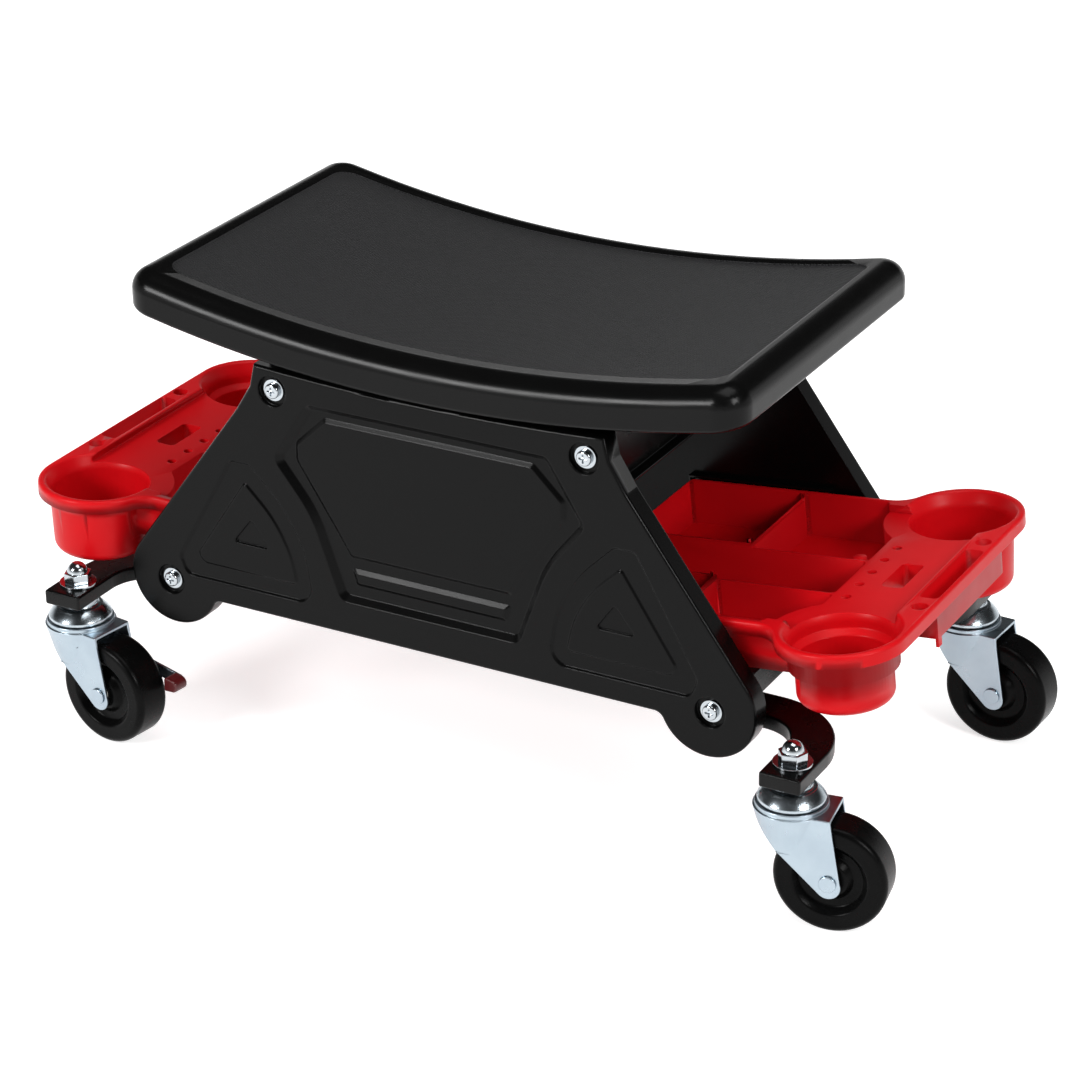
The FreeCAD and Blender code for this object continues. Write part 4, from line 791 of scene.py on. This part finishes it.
@dataclass
class Studs:
    """Kingpins, washers, acorn nuts and raceway cups, each a group of four."""

    stud_ease_mm: float = 0.3
    nut_ease_mm: float = 0.5
    cup_ease_mm: float = 0.6
    cup_sharp_degrees: float = 24.0

    def build(self) -> None:
        """Dress the four groups."""
        EasedCopy("caster_studs", self.stud_ease_mm).build()
        EasedCopy("stud_washers", self.stud_ease_mm, finish=POLISHED).build()
        EasedCopy("acorn_nuts", self.nut_ease_mm, steps=3, finish=POLISHED).build()
        EasedCopy(
            "raceway_cups", self.cup_ease_mm, steps=3, sharp_degrees=self.cup_sharp_degrees, finish=DRAWN
        ).build()


# ---- the studio


@dataclass(frozen=True)
class Lamp:
    """A square soft lamp that faces the middle of the object."""

    name: str
    spot: Point
    width_m: float
    watts: float
    aim: Point = (0.0, 0.0, 0.2)

    def hang(self) -> None:
        """Put the lamp in its place."""
        data = bpy.data.lights.new(self.name, "AREA")
        data.shape = "SQUARE"
        data.size = self.width_m
        data.energy = self.watts
        lamp = bpy.data.objects.new(self.name, data)
        lamp.location = self.spot
        lamp.rotation_euler = (Vector(self.aim) - Vector(self.spot)).to_track_quat("-Z", "Y").to_euler()
        bpy.context.scene.collection.objects.link(lamp)


LAMPS = (
    Lamp("key_left", (-1.25, -2.45, 1.45), 0.75, 54.0),
    Lamp("key_right", (2.65, -1.05, 1.9), 0.9, 46.0),
    Lamp("overhead", (0.4, -0.1, 3.0), 1.8, 31.0),
)


@dataclass
class Studio:
    """Floor, backdrop, lamps and camera."""

    lens_mm: float = 110.56
    sensor_mm: float = 36.0
    sight_m: float = 50.0
    distance_m: float = 2.81897
    azimuth: float = 28.97
    elevation: float = 25.52
    roll: float = -0.50
    target: Point = (-0.12413, 0.26062, 0.01230)
    floor_width_m: float = 16.0
    floor_colour: str = "#e6e6e6"
    floor_glow: float = 0.66
    backdrop_strength: float = 1.0
    room_strength: float = 0.46
    ceiling_strength: float = 0.03
    darkening: tuple[float, float] = (0.1, 0.3)

    def build(self) -> None:
        """Set the whole studio."""
        self.camera()
        self.floor()
        self.world()
        for lamp in LAMPS:
            lamp.hang()
        bpy.context.scene.view_settings.view_transform = "Standard"

    def camera(self) -> None:
        """Place the camera of the photograph."""
        around, up = math.radians(self.azimuth), math.radians(self.elevation)
        away = Vector((math.cos(up) * math.sin(around), -math.cos(up) * math.cos(around), math.sin(up)))
        right = (-away).cross(Vector((0, 0, 1))).normalized()
        above = right.cross(-away)
        lean = math.radians(self.roll)
        across = math.cos(lean) * right + math.sin(lean) * above
        upward = -math.sin(lean) * right + math.cos(lean) * above
        pose = Matrix((across, upward, away)).transposed().to_4x4()
        pose.translation = Vector(self.target) + away * self.distance_m
        data = bpy.data.cameras.new("camera")
        data.lens = self.lens_mm
        data.sensor_width = self.sensor_mm
        data.clip_end = self.sight_m
        camera = bpy.data.objects.new("camera", data)
        camera.matrix_world = pose
        bpy.context.scene.collection.objects.link(camera)
        bpy.context.scene.camera = camera

    def floor(self) -> None:
        """Lay a white floor that the camera and the metal alike see as a lit sweep, with a faint shadow."""
        pick_none()
        bpy.ops.mesh.primitive_plane_add(size=self.floor_width_m, location=(0, 0, 0))
        floor = bpy.context.active_object
        floor.name = "floor"
        made = bpy.data.materials.new("white_studio_floor")
        made.use_nodes = True
        tree = made.node_tree
        tree.nodes.clear()
        matt = add_node(tree, "ShaderNodeBsdfDiffuse", {"Color": linear(self.floor_colour)}).outputs[0]
        glow = add_node(tree, "ShaderNodeEmission", {"Color": linear(WHITE), "Strength": self.floor_glow})
        both = add_node(tree, "ShaderNodeAddShader", {0: matt, 1: glow.outputs[0]}).outputs[0]
        mix = add_node(tree, "ShaderNodeMixShader", {0: self.seen(tree), 1: matt, 2: both}).outputs[0]
        add_node(tree, "ShaderNodeOutputMaterial", {"Surface": mix})
        floor.data.materials.append(made)

    def world(self) -> None:
        """Show a white backdrop that darkens upwards, and light the object from an even room."""
        world = bpy.data.worlds.new("studio")
        bpy.context.scene.world = world
        world.use_nodes = True
        tree = world.node_tree
        tree.nodes.clear()
        room = self.background(tree, self.room_strength)
        ray = add_node(tree, "ShaderNodeTexCoord").outputs["Generated"]
        height = add_node(tree, "ShaderNodeSeparateXYZ", {"Vector": ray}).outputs["Z"]
        strength = remap(tree, height, self.darkening, self.backdrop_strength, self.ceiling_strength)
        backdrop = self.background(tree, strength)
        mix = add_node(tree, "ShaderNodeMixShader", {0: self.seen(tree), 1: room, 2: backdrop}).outputs[0]
        add_node(tree, "ShaderNodeOutputWorld", {"Surface": mix})

    @staticmethod
    def background(tree: Tree, strength: Socket | float) -> Socket:
        """Add a white background.

        Args:
            tree: The world's node tree.
            strength: How bright it is.

        Returns:
            The background shader.
        """
        links = {"Color": linear(WHITE), "Strength": strength}
        return add_node(tree, "ShaderNodeBackground", links).outputs[0]

    @staticmethod
    def seen(tree: Tree) -> Socket:
        """Tell the rays that look at the background from those that only carry light.

        Args:
            tree: The node tree that gets the nodes.

        Returns:
            One for camera, glossy and transmission rays.
        """
        path = add_node(tree, "ShaderNodeLightPath").outputs
        mirrored = work_out(tree, "MAXIMUM", path["Is Camera Ray"], path["Is Glossy Ray"])
        return work_out(tree, "MAXIMUM", mirrored, path["Is Transmission Ray"])


def dress_the_rest() -> None:
    """Give a finish to each CAD node that no piece stands for."""
    for node, item in frame["nodes"].items():
        if not item.hide_render:
            cover(item, SLOT_FINISH[slot_of(node)])
            soften(item, Shading.MACHINED)
            LOG.info("%s is carried over", node)


def main() -> None:
    """Build everything, in order."""
    logging.basicConfig(level=logging.INFO, format="%(name)s: %(message)s")
    Studio().build()
    Seat().build()
    Frame().build()
    Trays().build()
    for corner in Corner:
        Caster(corner).build()
    Studs().build()
    dress_the_rest()


if __name__ == "__main__":
    main()
